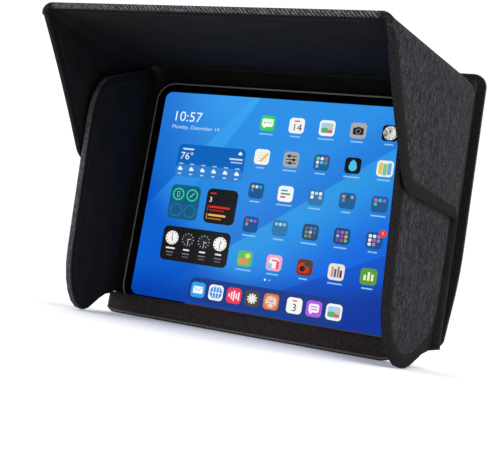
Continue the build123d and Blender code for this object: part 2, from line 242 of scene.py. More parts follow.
def outline_rings(points, radii, insets, pitch=5.0, arc=7):
    """The same rounded outline drawn at many insets, as (rings, places, 2).

    insets is (rings, sides): how far each side has moved in. Each corner is where its two
    moved sides cross, and a fillet of its radius, less the inset, is drawn about the point
    that lies that radius from both. Every ring has its places in the same order.
    """
    p = np.asarray(points, float)
    radii = np.asarray(radii, float)
    insets = np.atleast_2d(np.asarray(insets, float))
    if insets.shape[1] == 1:
        insets = np.repeat(insets, len(p), axis=1)
    area = float((p[:, 0] * np.roll(p[:, 1], -1) - np.roll(p[:, 0], -1) * p[:, 1]).sum())
    side = np.roll(p, -1, axis=0) - p
    side /= np.linalg.norm(side, axis=1, keepdims=True)
    normal = np.stack([-side[:, 1], side[:, 0]], -1) * np.sign(area)
    before = np.roll(normal, 1, axis=0)
    d_after, d_before = insets[:, :, None], np.roll(insets, 1, axis=1)[:, :, None]
    mix = (before * normal).sum(1)[None, :, None]
    shift = (d_before * (before - mix * normal) + d_after * (normal - mix * before)) / (1 - mix**2)
    corner = p[None] + shift
    radius = np.maximum(radii[None] - (insets + np.roll(insets, 1, axis=1)) / 2, 0.3)[:, :, None]
    centre = corner + radius * (before + normal)[None] / (1 + mix)
    turn = np.arctan2(before[:, 0] * normal[:, 1] - before[:, 1] * normal[:, 0], (before * normal).sum(1))
    angle = np.linspace(0, 1, arc)[None, :] * turn[:, None]
    c, s = np.cos(angle), np.sin(angle)
    spoke = -np.stack(
        [
            before[:, None, 0] * c - before[:, None, 1] * s,
            before[:, None, 0] * s + before[:, None, 1] * c
        ],
        -1
    )
    arcs = centre[:, :, None] + radius[:, :, None] * spoke[None]
    length = np.linalg.norm(np.roll(p, -1, axis=0) - p, axis=1)
    parts = []
    for i, run in enumerate(length):
        parts.append(arcs[:, i])
        share = np.linspace(0, 1, max(int(run / pitch), 2) + 1)[None, 1:-1, None]
        start, end = arcs[:, i, -1:], arcs[:, (i + 1) % len(p), :1]
        parts.append(start + (end - start) * share)
    return np.concatenate(parts, axis=1)


def side_starts(points, pitch=5.0, arc=7):
    """Where each corner's places start in such a ring, with the ring's length at the end."""
    p = np.asarray(points, float)
    length = np.linalg.norm(np.roll(p, -1, axis=0) - p, axis=1)
    counts = [arc + max(int(run / pitch), 2) - 1 for run in length]
    return np.concatenate([[0], np.cumsum(counts)])


def run_length(path):
    """Distance along a line of points, from 0 at the first."""
    return np.concatenate([[0], np.cumsum(np.linalg.norm(np.diff(path, axis=0), axis=1))])


# ---------------------------------------------------------------- where the panels lie
def lay_back(u, v, height):
    """Back panel: u across, v up, height forward from the rear face."""
    return np.stack([u, BACK_REAR_Y - height, v + 0 * u], -1)


def visor_top(y):
    """Height of the visor's upper face, which drops evenly towards the front."""
    return VISOR_HEIGHT_AT_BACK - np.tan(VISOR_DROP) * (BACK_FACE_Y - y)


def visor_half(y):
    """Half the width over the folded-down flaps, narrowing evenly towards the front."""
    share = (FOLD_Y - y) / (FOLD_Y - FRONT_Y)
    return VISOR_HALF_REAR + share * (VISOR_HALF_FRONT - VISOR_HALF_REAR)


def lay_visor(u, v, height):
    """Visor: u across, v forward down the slope, height downwards through it."""
    y = FOLD_Y - v * cos(VISOR_DROP) + height * sin(VISOR_DROP)
    z = visor_top(FOLD_Y) - v * sin(VISOR_DROP) - height * cos(VISOR_DROP)
    return np.stack([u + 0 * v, y, z], -1)


def lay_wing(u, v, height):
    """Right wing: u forward along it, v up, height inwards from its outer face."""
    x = WING_X - u * sin(WING_LEAN) - height * cos(WING_LEAN)
    y = FOLD_Y - u * cos(WING_LEAN) + height * sin(WING_LEAN)
    return np.stack([x, y, v + 0 * u], -1)


def flap_x(y, z):
    """Outer face of the right flap: straight from the visor's edge down to its hem."""
    along = (FOLD_Y - y) / (FOLD_Y - FLAP_FOOT_Y)
    hem = HEM_X_REAR + along * (HEM_X_FRONT - HEM_X_REAR)
    down = (visor_top(y) - z) / (visor_top(y) - FLAP_FOOT)
    return visor_half(y) + down * (hem - visor_half(y))


def to_left(lay):
    """The same place mirrored to the left side."""
    def placed(u, v, height):
        return lay(u, v, height) * np.array([-1.0, 1.0, 1.0])
    return placed


def shoulder_radius(y):
    """Outer radius of the soft fold between visor and flap, larger at the rear."""
    share = (FOLD_Y - y) / (FOLD_Y - FRONT_Y)
    return SHOULDER_REAR + share * (SHOULDER_FRONT - SHOULDER_REAR)


def flap_lean(y):
    """How far the flap's outer face leans from upright, in radians."""
    return np.arctan2(flap_x(y, visor_top(y)) - flap_x(y, visor_top(y) - 1), 1.0)


def lay_shoulder(y, share, height):
    """Right shoulder: share 0 is the visor's edge and 1 the flap's, height inwards.

    A quarter round, touching the visor's upper face and the flap's outer face: its centre is
    the radius from both, and the place turns about it from straight up to straight out. Below
    0 and above 1 the place runs on straight, in millimetres. Height is square to the visor at
    0 and sideways at 1.
    """
    radius = shoulder_radius(y)
    lean = flap_lean(y)
    inset = radius * (1 + np.sin(lean)) / np.cos(lean)
    angle = np.pi / 2 - np.clip(share, 0, 1) * (np.pi / 2 + lean)
    x = visor_half(y) - inset + (radius - height) * np.cos(angle)
    z = visor_top(y) - radius + (radius - height * cos(VISOR_DROP)) * np.sin(angle)
    x = x + np.minimum(share, 0) - np.maximum(share - 1, 0) * np.sin(lean)
    z = z - np.maximum(share - 1, 0) * np.cos(lean)
    return np.stack([x, y + height * sin(VISOR_DROP) * np.sin(angle), z], -1)


def shoulder_share(y, z):
    """Where on the shoulder a height on the flap lies: past 1 it is millimetres below the fold."""
    over = z - visor_top(y) + shoulder_radius(y)
    return 1 - np.where(over > 0, over / (shoulder_radius(y) * (np.pi / 2 + flap_lean(y))), over)


def lay_flap(y, z, height):
    """Right flap: its own Y and Z, height inwards from its outer face. Its top wraps over the shoulder."""
    flat = np.stack([flap_x(y, z) - height, y + 0 * z, z + 0 * y], -1)
    share = shoulder_share(y, z)
    return np.where(share[..., None] < 1, lay_shoulder(y, share, height), flat)


def shoulder_drop(x, y):
    """How far the rounded shoulder lies below the visor's upper face."""
    past = np.clip(np.abs(x) - visor_half(y) + SHOULDER_REAR, 0, SHOULDER_REAR)
    return SHOULDER_REAR - np.sqrt(SHOULDER_REAR**2 - past**2)


# ---------------------------------------------------------------- panels
def sizes():
    """The sizes that a user may change."""
    return bpy.context.scene.hood_sizes


def ripple(u, v):
    """Slow waves in stretched cloth: three crossing sines that nowhere repeat in step."""
    waves = np.sin(u / 17 + v / 29) * np.sin(v / 23 - u / 41) + 0.6 * np.sin(u / 9.3 - v / 13.7)
    return waves * sizes().ripple / MM


def skin(name, ring, centre, lay, low, high, out, material):
    """One face cloth of a panel: a thin lens that crowns in its middle.

    Rings of the outline shrink towards the centre. Their height is the outer level less the
    crown times one minus the fourth power of the scale, plus the ripple. The rim is half
    round, and the underside is flat. out is -1 where the outer face lies at low heights.
    """
    crown = sizes().crown / MM
    scale = np.array([0.03, 0.2, 0.36, 0.5, 0.62, 0.72, 0.8, 0.86, 0.91, 0.95, 0.975, 0.99])
    grow = np.concatenate([scale, [1.0, 1.002, 1.0], scale[::-2]])
    rings = centre + (ring - centre) * grow[:, None, None]
    top, bottom = (low, high) if out < 0 else (high, low)
    outer = top + out * (crown * (1 - scale**4))[:, None] + ripple(
        rings[: len(scale), :, 0], rings[: len(scale), :, 1]
    ) * (1 - scale**6)[:, None]
    rim = np.array([top - out * 0.15, (top + bottom) / 2, bottom])[:, None] + 0 * ring[None, :, 0]
    under = np.full((len(scale[::-2]), len(ring)), float(bottom))
    height = np.concatenate([outer, rim, under])
    uv = np.concatenate([rings, rings[:, :1]], 1)
    made = surface(name, lay(rings[..., 0], rings[..., 1], height), uv, material)
    return made


def tape_profile(thick):
    """The cross-section of tape folded round an edge, as (inset, height) round a closed loop."""
    outer = np.array([(9.7, 0.62), (10.0, 0.3), (9.7, -0.02), (8.6, -0.14), (6.6, -0.2), (4.0, -0.16),
                      (2.2, -0.04), (1.1, 0.14), (0.45, 0.5), (0.1, 1.05)])
    inner = np.array([(1.15, thick / 2 + 0.6), (1.15, thick / 2 - 0.6), (1.5, 1.0), (2.4, 0.66)])
    flip = np.array([1.0, -1.0])
    base = np.array([0.0, thick])
    return np.concatenate(
        [outer, [(0.0, thick / 2)], outer[::-1] * flip + base, inner[::-1][:2] * flip + base, inner]
    )


def tape(name, points, radii, lay, thick, material, sides=None, shares=None):
    """Tape round an outline, or along some of its sides: the profile carried along the path.

    shares narrows the tape beside each side, by its share of the full width.
    """
    profile = tape_profile(thick)
    rings = outline_rings(points, radii, profile[:, :1] * np.array(shares or [1.0] * len(points)))
    if sides is not None:
        starts = side_starts(points)
        rings = rings[:, starts[sides[0]] + 6: starts[sides[1]] + 1]
    path = rings.transpose(1, 0, 2)
    height = np.broadcast_to(profile[None, :, 1], path.shape[:2])
    along = run_length(rings[len(profile) // 3])
    if sides is None:
        along = np.append(along, along[-1] + along[1])
    girth = run_length(np.vstack([profile, profile[:1]]))
    uv = np.stack(np.meshgrid(along, girth, indexing="ij"), -1)
    return surface(name, lay(path[..., 0], path[..., 1], height), uv, material, closed_rows=sides is None)


def stitches(name, lines, material):
    """Rows of short threads sunk into the tape.

    lines is [(path, up)], each path a line of 3-D points and up the direction off the face.
    Each stitch is a pointed round thread: its radius is the square root of one minus the
    square of its place, and it humps up between its ends by the same rule.
    """
    pitch, radius = sizes().stitch / MM, sizes().thread / MM / 2
    place = np.array([-0.97, -0.6, 0.0, 0.6, 0.97])
    bulge = np.sqrt(1 - place**2)
    around = np.arange(5) / 5 * 2 * np.pi
    grids = []
    for path, up in lines:
        far = run_length(path)
        count = max(int(far[-1] / pitch), 1)
        middle = (np.arange(count) + 0.5) / count * far[-1]
        at = np.stack([np.interp(middle, far, path[:, i]) for i in range(3)], -1)
        ahead = np.stack(
            [
                np.interp(middle + 0.3, far, path[:, i]) - np.interp(middle - 0.3, far, path[:, i])
                for i in range(3)
            ],
            -1
        )
        ahead /= np.linalg.norm(ahead, axis=1, keepdims=True)
        off = np.stack([np.interp(middle, far, up[:, i]) for i in range(3)], -1)
        off -= ahead * (off * ahead).sum(1, keepdims=True)
        off /= np.linalg.norm(off, axis=1, keepdims=True)
        across = np.cross(ahead, off)
        spine = at[:, None] + ahead[:, None] * (
            place * pitch * 0.36
        )[None, :, None] + off[:, None] * (bulge * 0.16 - 0.08)[None, :, None]
        ring = np.cos(around)[None, None, :, None] * across[:, None, None] + np.sin(around)[
            None, None, :, None
        ] * off[:, None, None]
        grids.append(spine[:, :, None] + ring * (bulge * radius)[None, :, None, None])
    uv = np.stack(np.meshgrid(place, np.arange(6.0), indexing="ij"), -1)
    return surface(name, np.concatenate(grids), uv, material)


def stitch_line(points, radii, lay, inset, height, outward, sides=None, shares=None):
    """One row of stitches on a panel, with the direction off its face."""
    ring = outline_rings(points, radii, [inset * np.array(shares or [1.0] * len(points))])[0]
    if sides is None:
        ring = np.vstack([ring, ring[:1]])
    else:
        starts = side_starts(points)
        ring = ring[starts[sides[0]] + 6: starts[sides[1]] + 1]
    on = lay(ring[:, 0], ring[:, 1], np.full(len(ring), float(height)))
    off = lay(ring[:, 0], ring[:, 1], np.full(len(ring), float(height) + outward)) - on
    return on, off / np.linalg.norm(off, axis=1, keepdims=True)


def board_plate(panel, body, core, centre, lay, low, high):
    """A stiffener sheet cut a little smaller than the cloth over it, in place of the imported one."""
    reach = np.abs(core - centre).max()
    grow = np.array([0.04, 0.5, 1.0, 1.0, 0.5, 0.04]) * (1 - 3.0 / reach)
    rings = centre + (core - centre) * grow[:, None, None]
    height = np.array([low, low, low, high, high, high])[:, None] + 0 * core[None, :, 0]
    uv = np.concatenate([rings, rings[:, :1]], 1)
    plate = surface(
        f"{panel}_board_plate", lay(rings[..., 0], rings[..., 1], height), uv, finish_of("board"),
        sharp=40
    )
    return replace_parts(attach(plate, body), f"{panel}_board")


def bound_panel(
    panel, body, points, radii, core_insets, thick, lay, fabrics, sides=None, shares=None, own_board=False
):
    """A whole sewn panel: outer cloth, lining, tape and two rows of stitches, on one body."""
    cloth, lining, ribbon, thread = fabrics
    core = outline_rings(points, radii, [core_insets])[0]
    centre = (core.max(0) + core.min(0)) / 2
    level = 0.4 * thick / PANEL
    board = f"{panel}_board"
    if own_board:
        board = board_plate(panel, body, core, centre, lay, level + 0.95, thick - level - 0.95).name
    outer = skin(f"{panel}_cover_cloth", core, centre, lay, level, level + 0.9, -1, cloth)
    inner = skin(
        f"{panel}_lining_cloth", core, centre, lay, thick - level - 0.9, thick - level, 1, lining
    )
    edge = tape(f"{panel}_edge_tape", points, radii, lay, thick, ribbon, sides, shares)
    rows = [
        stitch_line(points, radii, lay, 8.3, level, away, sides, shares)
        for level, away in ((-0.12, -1), (thick + 0.12, 1))
    ]
    seam = stitches(f"{panel}_stitches", rows, thread)
    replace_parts(outer, f"{panel}_cover")
    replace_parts(inner, f"{panel}_lining")
    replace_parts(edge, f"{panel}_binding")
    for piece, slot in (
        (outer, "outer_fabric"), (inner, "lining_fabric"), (edge, "binding_tape"), (seam, "binding_tape")
    ):
        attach(piece, body)
    return outer, inner, edge, seam


def ribbon_surface(name, outer, inner, u, material):
    """A strip of cloth between two lines of section points, (stations, places, 3) each."""
    loop = np.concatenate([outer, inner[:, ::-1]], 1)
    girth = run_length(np.vstack([loop[0], loop[0][:1]]))
    uv = np.stack(np.meshgrid(u, girth, indexing="ij"), -1)
    return surface(name, loop, uv, material)


# ---------------------------------------------------------------- materials
def linear(code):
    """An sRGB hex colour as linear red, green and blue."""
    parts = [int(code[i:i + 2], 16) / 255 for i in (0, 2, 4)]
    return tuple(c / 12.92 if c <= 0.04045 else ((c + 0.055) / 1.055) ** 2.4 for c in parts)


def add(tree, kind, settings=None, **links):
    """One node, with its settings, and its inputs set to a value or linked to a socket."""
    node = tree.nodes.new("ShaderNode" + kind)
    for key, value in (settings or {}).items():
        setattr(node, key, value)
    for key, value in links.items():
        socket = node.inputs[int(key[1:])] if key[0] == "i" and key[1:].isdigit() else node.inputs[
            key.replace("_", " ")
        ]
        if isinstance(value, bpy.types.NodeSocket):
            tree.links.new(value, socket)
        else:
            socket.default_value = value
    return node


def new_material(name):
    """An empty material with a Principled shader on its output, as (material, tree, shader)."""
    material = bpy.data.materials.new(name)
    material.use_nodes = True
    tree = material.node_tree
    tree.nodes.clear()
    shader = tree.nodes.new("ShaderNodeBsdfPrincipled")
    output = tree.nodes.new("ShaderNodeOutputMaterial")
    tree.links.new(shader.outputs["BSDF"], output.inputs["Surface"])
    return material, tree, shader


def shade(colour, factor):
    """A colour made lighter or darker by a factor, with an opaque fourth part."""
    return tuple(min(c * factor, 1.0) for c in colour[:3]) + (1.0,)


def ramp(tree, factor, stops):
    """A colour ramp through (place, colour) stops."""
    node = add(tree, "ValToRGB", Fac=factor)
    while len(node.color_ramp.elements) < len(stops):
        node.color_ramp.elements.new(0.5)
    for element, (place, colour) in zip(node.color_ramp.elements, stops):
        element.position = place
        element.color = tuple(colour[:3]) + (1.0,)
    return node.outputs["Color"]


def stretched(tree, across_mm, along_mm, source="UV"):
    """The piece's own pattern place, divided by a thread's width and its visible length."""
    place = add(tree, "TexCoord").outputs[source]
    return add(
        tree, "Mapping", i0=place, Location=(0.3, 0.6, 0.4),
        Scale=(1 / (across_mm * MM), 1 / (along_mm * MM), 1 / (across_mm * MM))
    ).outputs["Vector"]


def matt(shader, rough, sheen):
    """Cloth's dull surface: hardly any mirror light, and a little from the fuzz at its edges."""
    shader.inputs["Roughness"].default_value = rough
    shader.inputs["Specular IOR Level"].default_value = 0.05
    shader.inputs["Sheen Weight"].default_value = sheen
    shader.inputs["Sheen Roughness"].default_value = 0.5


def heather_canvas():
    """Melange polyester canvas, plain woven from two-tone yarn: flecked charcoal with upright streaks."""
    material, tree, shader = new_material("polyester_melange_canvas_woven")
    cloth = bpy.context.scene.hood_colours.cloth
    # Yarn is about 0.3 mm; it is drawn at 0.9 mm across so that single ends show.
    yarn = add(
        tree, "TexNoise", Vector=stretched(tree, 0.9, 7.0), Scale=1.0, Detail=2.0, Roughness=0.6,
        Distortion=0.3
    )
    fleck = add(tree, "TexNoise", Vector=stretched(tree, 0.75, 1.8), Scale=1.0, Detail=1.0, Roughness=0.5)
    cloud = add(tree, "TexNoise", Vector=stretched(tree, 12.0, 26.0), Scale=1.0, Detail=2.0)
    both = add(
        tree, "Math", {"operation": "MULTIPLY_ADD"}, i0=fleck.outputs["Fac"], i1=0.7,
        i2=yarn.outputs["Fac"]
    )
    mixed = add(
        tree, "Math", {"operation": "MULTIPLY_ADD"}, i0=cloud.outputs["Fac"], i1=0.06,
        i2=both.outputs["Value"]
    )
    spread = add(tree, "MapRange", i0=mixed.outputs["Value"], i1=0.7, i2=1.06)
    tree.links.new(
        ramp(
            tree, spread.outputs["Result"],
            [
                (0.0, shade(cloth, 0.15)), (0.35, shade(cloth, 0.75)), (0.6, shade(cloth, 1.15)),
                (1.0, shade(cloth, 2.7))
            ]
        ),
        shader.inputs["Base Color"]
    )
    weft = add(
        tree, "TexWave", {"bands_direction": "Y"}, Vector=stretched(tree, 5.2, 5.2), Scale=1.0,
        Distortion=1.5
    )
    relief = add(
        tree, "Math", {"operation": "MULTIPLY_ADD"}, i0=weft.outputs["Fac"], i1=0.35,
        i2=both.outputs["Value"]
    )
    bump = add(tree, "Bump", Strength=0.5, Distance=0.3 * MM, Height=relief.outputs["Value"])
    tree.links.new(bump.outputs["Normal"], shader.inputs["Normal"])
    matt(shader, 0.92, 0.01)
    return material


def brushed_lining():
    """Brushed nylon loop lining: a short nap, nearly black, that greys where light grazes it."""
    material, tree, shader = new_material("nylon_loop_lining_brushed")
    lining = bpy.context.scene.hood_colours.lining
    nap = add(tree, "TexNoise", Vector=stretched(tree, 0.9, 0.9), Scale=1.0, Detail=3.0, Roughness=0.7)
    drift = add(tree, "TexNoise", Vector=stretched(tree, 26.0, 18.0), Scale=1.0, Detail=1.0)
    both = add(
        tree, "Math", {"operation": "MULTIPLY_ADD"}, i0=drift.outputs["Fac"], i1=0.4,
        i2=nap.outputs["Fac"]
    )
    spread = add(tree, "MapRange", i0=both.outputs["Value"], i1=0.45, i2=0.95)
    tree.links.new(
        ramp(
            tree, spread.outputs["Result"],
            [(0.0, shade(lining, 0.5)), (0.5, shade(lining, 1.0)), (1.0, shade(lining, 1.9))]
        ),
        shader.inputs["Base Color"]
    )
    bump = add(tree, "Bump", Strength=0.6, Distance=0.3 * MM, Height=nap.outputs["Fac"])
    tree.links.new(bump.outputs["Normal"], shader.inputs["Normal"])
    matt(shader, 0.95, 0.004)
    return material


def ribbed_tape(name="nylon_grosgrain_tape_woven", fold_light=(0.8, 1.5, 3.0)):
    """Nylon grosgrain tape, woven with ribs across it and folded over the edge, with a painted highlight
    along its fold.
    """
    material, tree, shader = new_material(name)
    colour = bpy.context.scene.hood_colours.tape
    # Ribs are about 0.6 mm; they are drawn 1.8 mm apart, broken into knots, so that they show.
    ribs = add(
        tree, "TexWave", {"bands_direction": "DIAGONAL"}, Vector=stretched(tree, 4.0, 4.0), Scale=1.0,
        Distortion=2.6, Detail=1.0, Detail_Scale=2.0
    )
    fuzz = add(tree, "TexNoise", Vector=stretched(tree, 1.3, 1.7), Scale=1.0, Detail=1.0)
    both = add(
        tree, "Math", {"operation": "MULTIPLY_ADD"}, i0=fuzz.outputs["Fac"], i1=1.7,
        i2=ribs.outputs["Fac"]
    )
    spread = add(tree, "MapRange", i0=both.outputs["Value"], i1=0.75, i2=1.9)
    # The fold stands out most and catches the light, so a painted highlight lightens the tape there.
    across = add(tree, "SeparateXYZ", Vector=add(tree, "TexCoord").outputs["UV"]).outputs["Y"]
    from_middle = add(tree, "Math", {"operation": "SUBTRACT"}, i0=across, i1=12.1 * MM)
    distance = add(tree, "Math", {"operation": "ABSOLUTE"}, i0=from_middle.outputs["Value"])
    on_fold = add(tree, "MapRange", i0=distance.outputs["Value"], i1=2.9 * MM, i2=1.7 * MM)
    flat = ramp(
        tree, spread.outputs["Result"],
        [(0.0, shade(colour, 0.75)), (0.55, shade(colour, 1.0)), (1.0, shade(colour, 1.4))]
    )
    # A lighter copy of the tape's colours for the fold: a painted highlight where the light catches it.
    lit_fold = ramp(
        tree, spread.outputs["Result"], [(at, shade(colour, by)) for at, by in zip((0.0, 0.5, 1.0), fold_light)]
    )
    mix = add(tree, "Mix", {"data_type": "RGBA"}, i0=on_fold.outputs["Result"], i6=flat, i7=lit_fold)
    tree.links.new(mix.outputs[2], shader.inputs["Base Color"])
    bump = add(tree, "Bump", Strength=0.7, Distance=0.3 * MM, Height=both.outputs["Value"])
    tree.links.new(bump.outputs["Normal"], shader.inputs["Normal"])
    matt(shader, 0.85, 0.006)
    return material


def speckled(
    name, colour, grain_mm, spread=0.35, rough=0.8, metallic=0.0, sheen=None, source="Object",
    depth_mm=0.05, along=1.0
):
    """A finish with fine grain: a colour that wanders by a share, and the same grain as relief."""
    material, tree, shader = new_material(name)
    rgb = linear(colour)
    grain = add(
        tree, "TexNoise", Vector=stretched(tree, grain_mm, grain_mm * along, source), Scale=1.0,
        Detail=2.0
    )
    spots = add(tree, "MapRange", i0=grain.outputs["Fac"], i1=0.3, i2=0.7)
    tree.links.new(
        ramp(
            tree, spots.outputs["Result"], [(0.0, shade(rgb, 1 - spread)), (1.0, shade(rgb, 1 + spread))]
        ),
        shader.inputs["Base Color"]
    )
    bump = add(tree, "Bump", Strength=0.4, Distance=depth_mm * MM, Height=grain.outputs["Fac"])
    tree.links.new(bump.outputs["Normal"], shader.inputs["Normal"])
    shader.inputs["Roughness"].default_value = rough
    shader.inputs["Metallic"].default_value = metallic
    if sheen is not None:
        matt(shader, rough, sheen)
    return material


def lit_marks():
    """Lit display cells behind polished glass: each mark's own colour, given off as light."""
    material, tree, shader = new_material("display_marks_lit")
    tint = add(tree, "Attribute", {"attribute_name": "tint"}).outputs["Color"]
    shader.inputs["Base Color"].default_value = (0.0, 0.0, 0.0, 1.0)
    tree.links.new(tint, shader.inputs["Emission Color"])
    shader.inputs["Emission Strength"].default_value = bpy.context.scene.hood_colours.screen_glow
    shader.inputs["Roughness"].default_value = 0.35
    shader.inputs["Specular IOR Level"].default_value = 0.1
    return material


# Each facet of the wallpaper: a straight soft edge across*u + up*v = at, its softness, the
# colour past the edge and how much of it shows. u and v go from 0 to 1, right and up.
FACETS = (
    (-1.0, 0.0, -0.12, 0.28, "0a58c8", 0.6),
    (1.0, -0.6, -0.26, 0.012, "3fb0fa", 0.4),
    (1.0, -0.43, -0.062, 0.012, "1f7cdc", 0.5),
    (1.0, -0.43, 0.1, 0.3, "2e90e8", 0.4),
    (1.02, -1.0, -0.06, 0.28, "1568d2", 0.5),
    (1.02, -1.0, 0.064, 0.012, "2c98e6", 1.0),
    (1.02, -1.0, 0.3, 0.46, "0466de", 1.0),
    (-1.2, -1.0, -0.56, 0.26, "0757ce", 0.85),
    (0.66, -1.0, 0.241, 0.012, "034cc0", 0.75),
    (0.6, -1.0, 0.36, 0.24, "00247c", 0.95),
    (0.1, -1.0, -0.08, 0.2, "0034a0", 0.8),
)


def wallpaper():
    """Lit display cells behind polished glass: blue, with soft-edged slanting facets."""
    material, tree, shader = new_material("display_picture_lit")
    place = add(
        tree, "Mapping", i0=add(tree, "TexCoord").outputs["UV"],
        Scale=(1 / (SCREEN_WIDTH * MM), 1 / (SCREEN_HEIGHT * MM), 1.0)
    ).outputs["Vector"]
    up = add(tree, "SeparateXYZ", Vector=place).outputs["Y"]
    colour = ramp(
        tree, up,
        [
            (0.0, linear("0a55c8")), (0.3, linear("0b5fd0")), (0.6, linear("227fd8")),
            (1.0, linear("3c9df0"))
        ]
    )
    for across, rise, at, soft, code, weight in FACETS:
        side = add(tree, "VectorMath", {"operation": "DOT_PRODUCT"}, i0=place, i1=(across, rise, 0.0))
        step = add(
            tree, "MapRange", {"interpolation_type": "SMOOTHSTEP"}, i0=side.outputs["Value"],
            i1=at - soft / 2, i2=at + soft / 2, i3=0.0, i4=weight
        )
        colour = add(
            tree, "Mix", {"data_type": "RGBA"}, i0=step.outputs["Result"], i6=colour,
            i7=linear(code) + (1.0,)
        ).outputs[2]
    shader.inputs["Base Color"].default_value = (0.0, 0.0, 0.0, 1.0)
    tree.links.new(colour, shader.inputs["Emission Color"])
    shader.inputs["Emission Strength"].default_value = bpy.context.scene.hood_colours.screen_glow
    shader.inputs["Roughness"].default_value = 0.3
    shader.inputs["Specular IOR Level"].default_value = 0.1
    return material


def floor_board():
    """White opal acrylic lit from below: it keeps the ground pale under the hood."""
    material, tree, shader = new_material("opal_acrylic_cast_backlit")
    cloud = add(tree, "TexNoise", Vector=stretched(tree, 60.0, 60.0, "Object"), Scale=1.0)
    tree.links.new(
        ramp(tree, cloud.outputs["Fac"], [(0.0, linear("f6f6f6")), (1.0, linear("ffffff"))]),
        shader.inputs["Base Color"]
    )
    shader.inputs["Emission Color"].default_value = (1.0, 1.0, 1.0, 1.0)
    shader.inputs["Emission Strength"].default_value = 0.12
    shader.inputs["Roughness"].default_value = 0.9
    return material


MATERIALS = {}


def finish_of(name):
    """A material by its short name, made the first time it is asked for."""
    if name not in MATERIALS:
        MATERIALS[name] = MAKERS[name]()
    return MATERIALS[name]


MAKERS = {
    "cloth": heather_canvas,
    "lining": brushed_lining,
    "tape": ribbed_tape,
    # The same tape with a stronger painted highlight along its fold, used where the edges face the light
    # more.
    "lit_fold_tape": lambda: ribbed_tape("nylon_grosgrain_tape_lit_fold", (1.6, 4.6, 17.0)),
    # Bonded polyester thread: smooth and a little lighter than the tape, so a row of it reads.
    "thread": lambda: speckled("polyester_thread_bonded", "303034", 0.6, sheen=0.02),
    # Padded knit over foam: matt dark grey with fine sideways ribs.
    "lip": lambda: speckled(
        "polyester_knit_padded", "302b2c", 0.9, 0.45, 0.95, sheen=0.02, source="UV", depth_mm=0.2,
        along=2.5
    ),
    # The lip's turned edge catches the light along its fold.
    "piping": lambda: speckled(
        "nylon_piping_cord_woven", "5a5658", 0.7, 0.4, 0.8, sheen=0.03, source="UV", depth_mm=0.1
    ),
    # Hook and loop: dense black nylon pile.
    "pile": lambda: speckled("nylon_hook_and_loop_pile", "171719", 0.9, 0.7, 0.95, sheen=0.05, depth_mm=0.5),
    # Stiffener sheet inside the panels, calendered polyethylene.
    "board": lambda: speckled("polyethylene_sheet_calendered", "343436", 3.0, 0.1, 0.55),
    # Silicone grip pads, moulded with a faint orange peel.
    "grip": lambda: speckled("silicone_rubber_moulded", "1b1b1c", 1.2, 0.2, 0.6),
    # Anodised aluminium, bead blasted: an even grey with a very fine sparkle.
    "metal": lambda: speckled("aluminium_anodised_blasted", "a39b98", 0.35, 0.08, 0.45, 0.7, depth_mm=0.01),
    # The cover glass is printed black behind its border, so it reads as deep black gloss.
    "glass": lambda: speckled("cover_glass_black_printed", "050506", 8.0, 0.05, 0.06, depth_mm=0.001),
    "circuit": lambda: speckled("solder_mask_green", "1c4a34", 1.5, 0.3, 0.5),
    "film": lambda: speckled("battery_film_black", "18181a", 2.5, 0.15, 0.4),
    "plastic": lambda: speckled("abs_moulded_black", "141415", 0.8, 0.15, 0.6),
    "steel": lambda: speckled("stainless_steel_drawn", "a0a0a4", 0.4, 0.1, 0.3, 1.0, depth_mm=0.01),
    "marks": lit_marks,
    "picture": wallpaper,
}

CARRIED_OVER = {
    "back_board": "board", "left_wing_board": "board", "right_wing_board": "board",
    "grip_pads": "grip", "tablet_housing": "metal", "tablet_power_button": "metal",
    "tablet_volume_up_button": "metal", "tablet_volume_down_button": "metal", "tablet_glass": "glass",
    "tablet_battery_cells": "film", "tablet_logic_board": "circuit", "tablet_speakers": "plastic",
    "tablet_front_camera": "glass", "tablet_rear_camera": "glass", "tablet_charging_port": "steel",
}


def dress(node, finish):
    """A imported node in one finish."""
    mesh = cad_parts[node].data
    mesh.materials.clear()
    mesh.materials.append(finish_of(finish))


# ---------------------------------------------------------------- the pieces
def fabrics(ribbon="lit_fold_tape"):
    """The four materials of a sewn panel; by default the tape with the stronger painted highlight on its
    fold.
    """
    return [finish_of(name) for name in ("cloth", "lining", ribbon, "thread")]


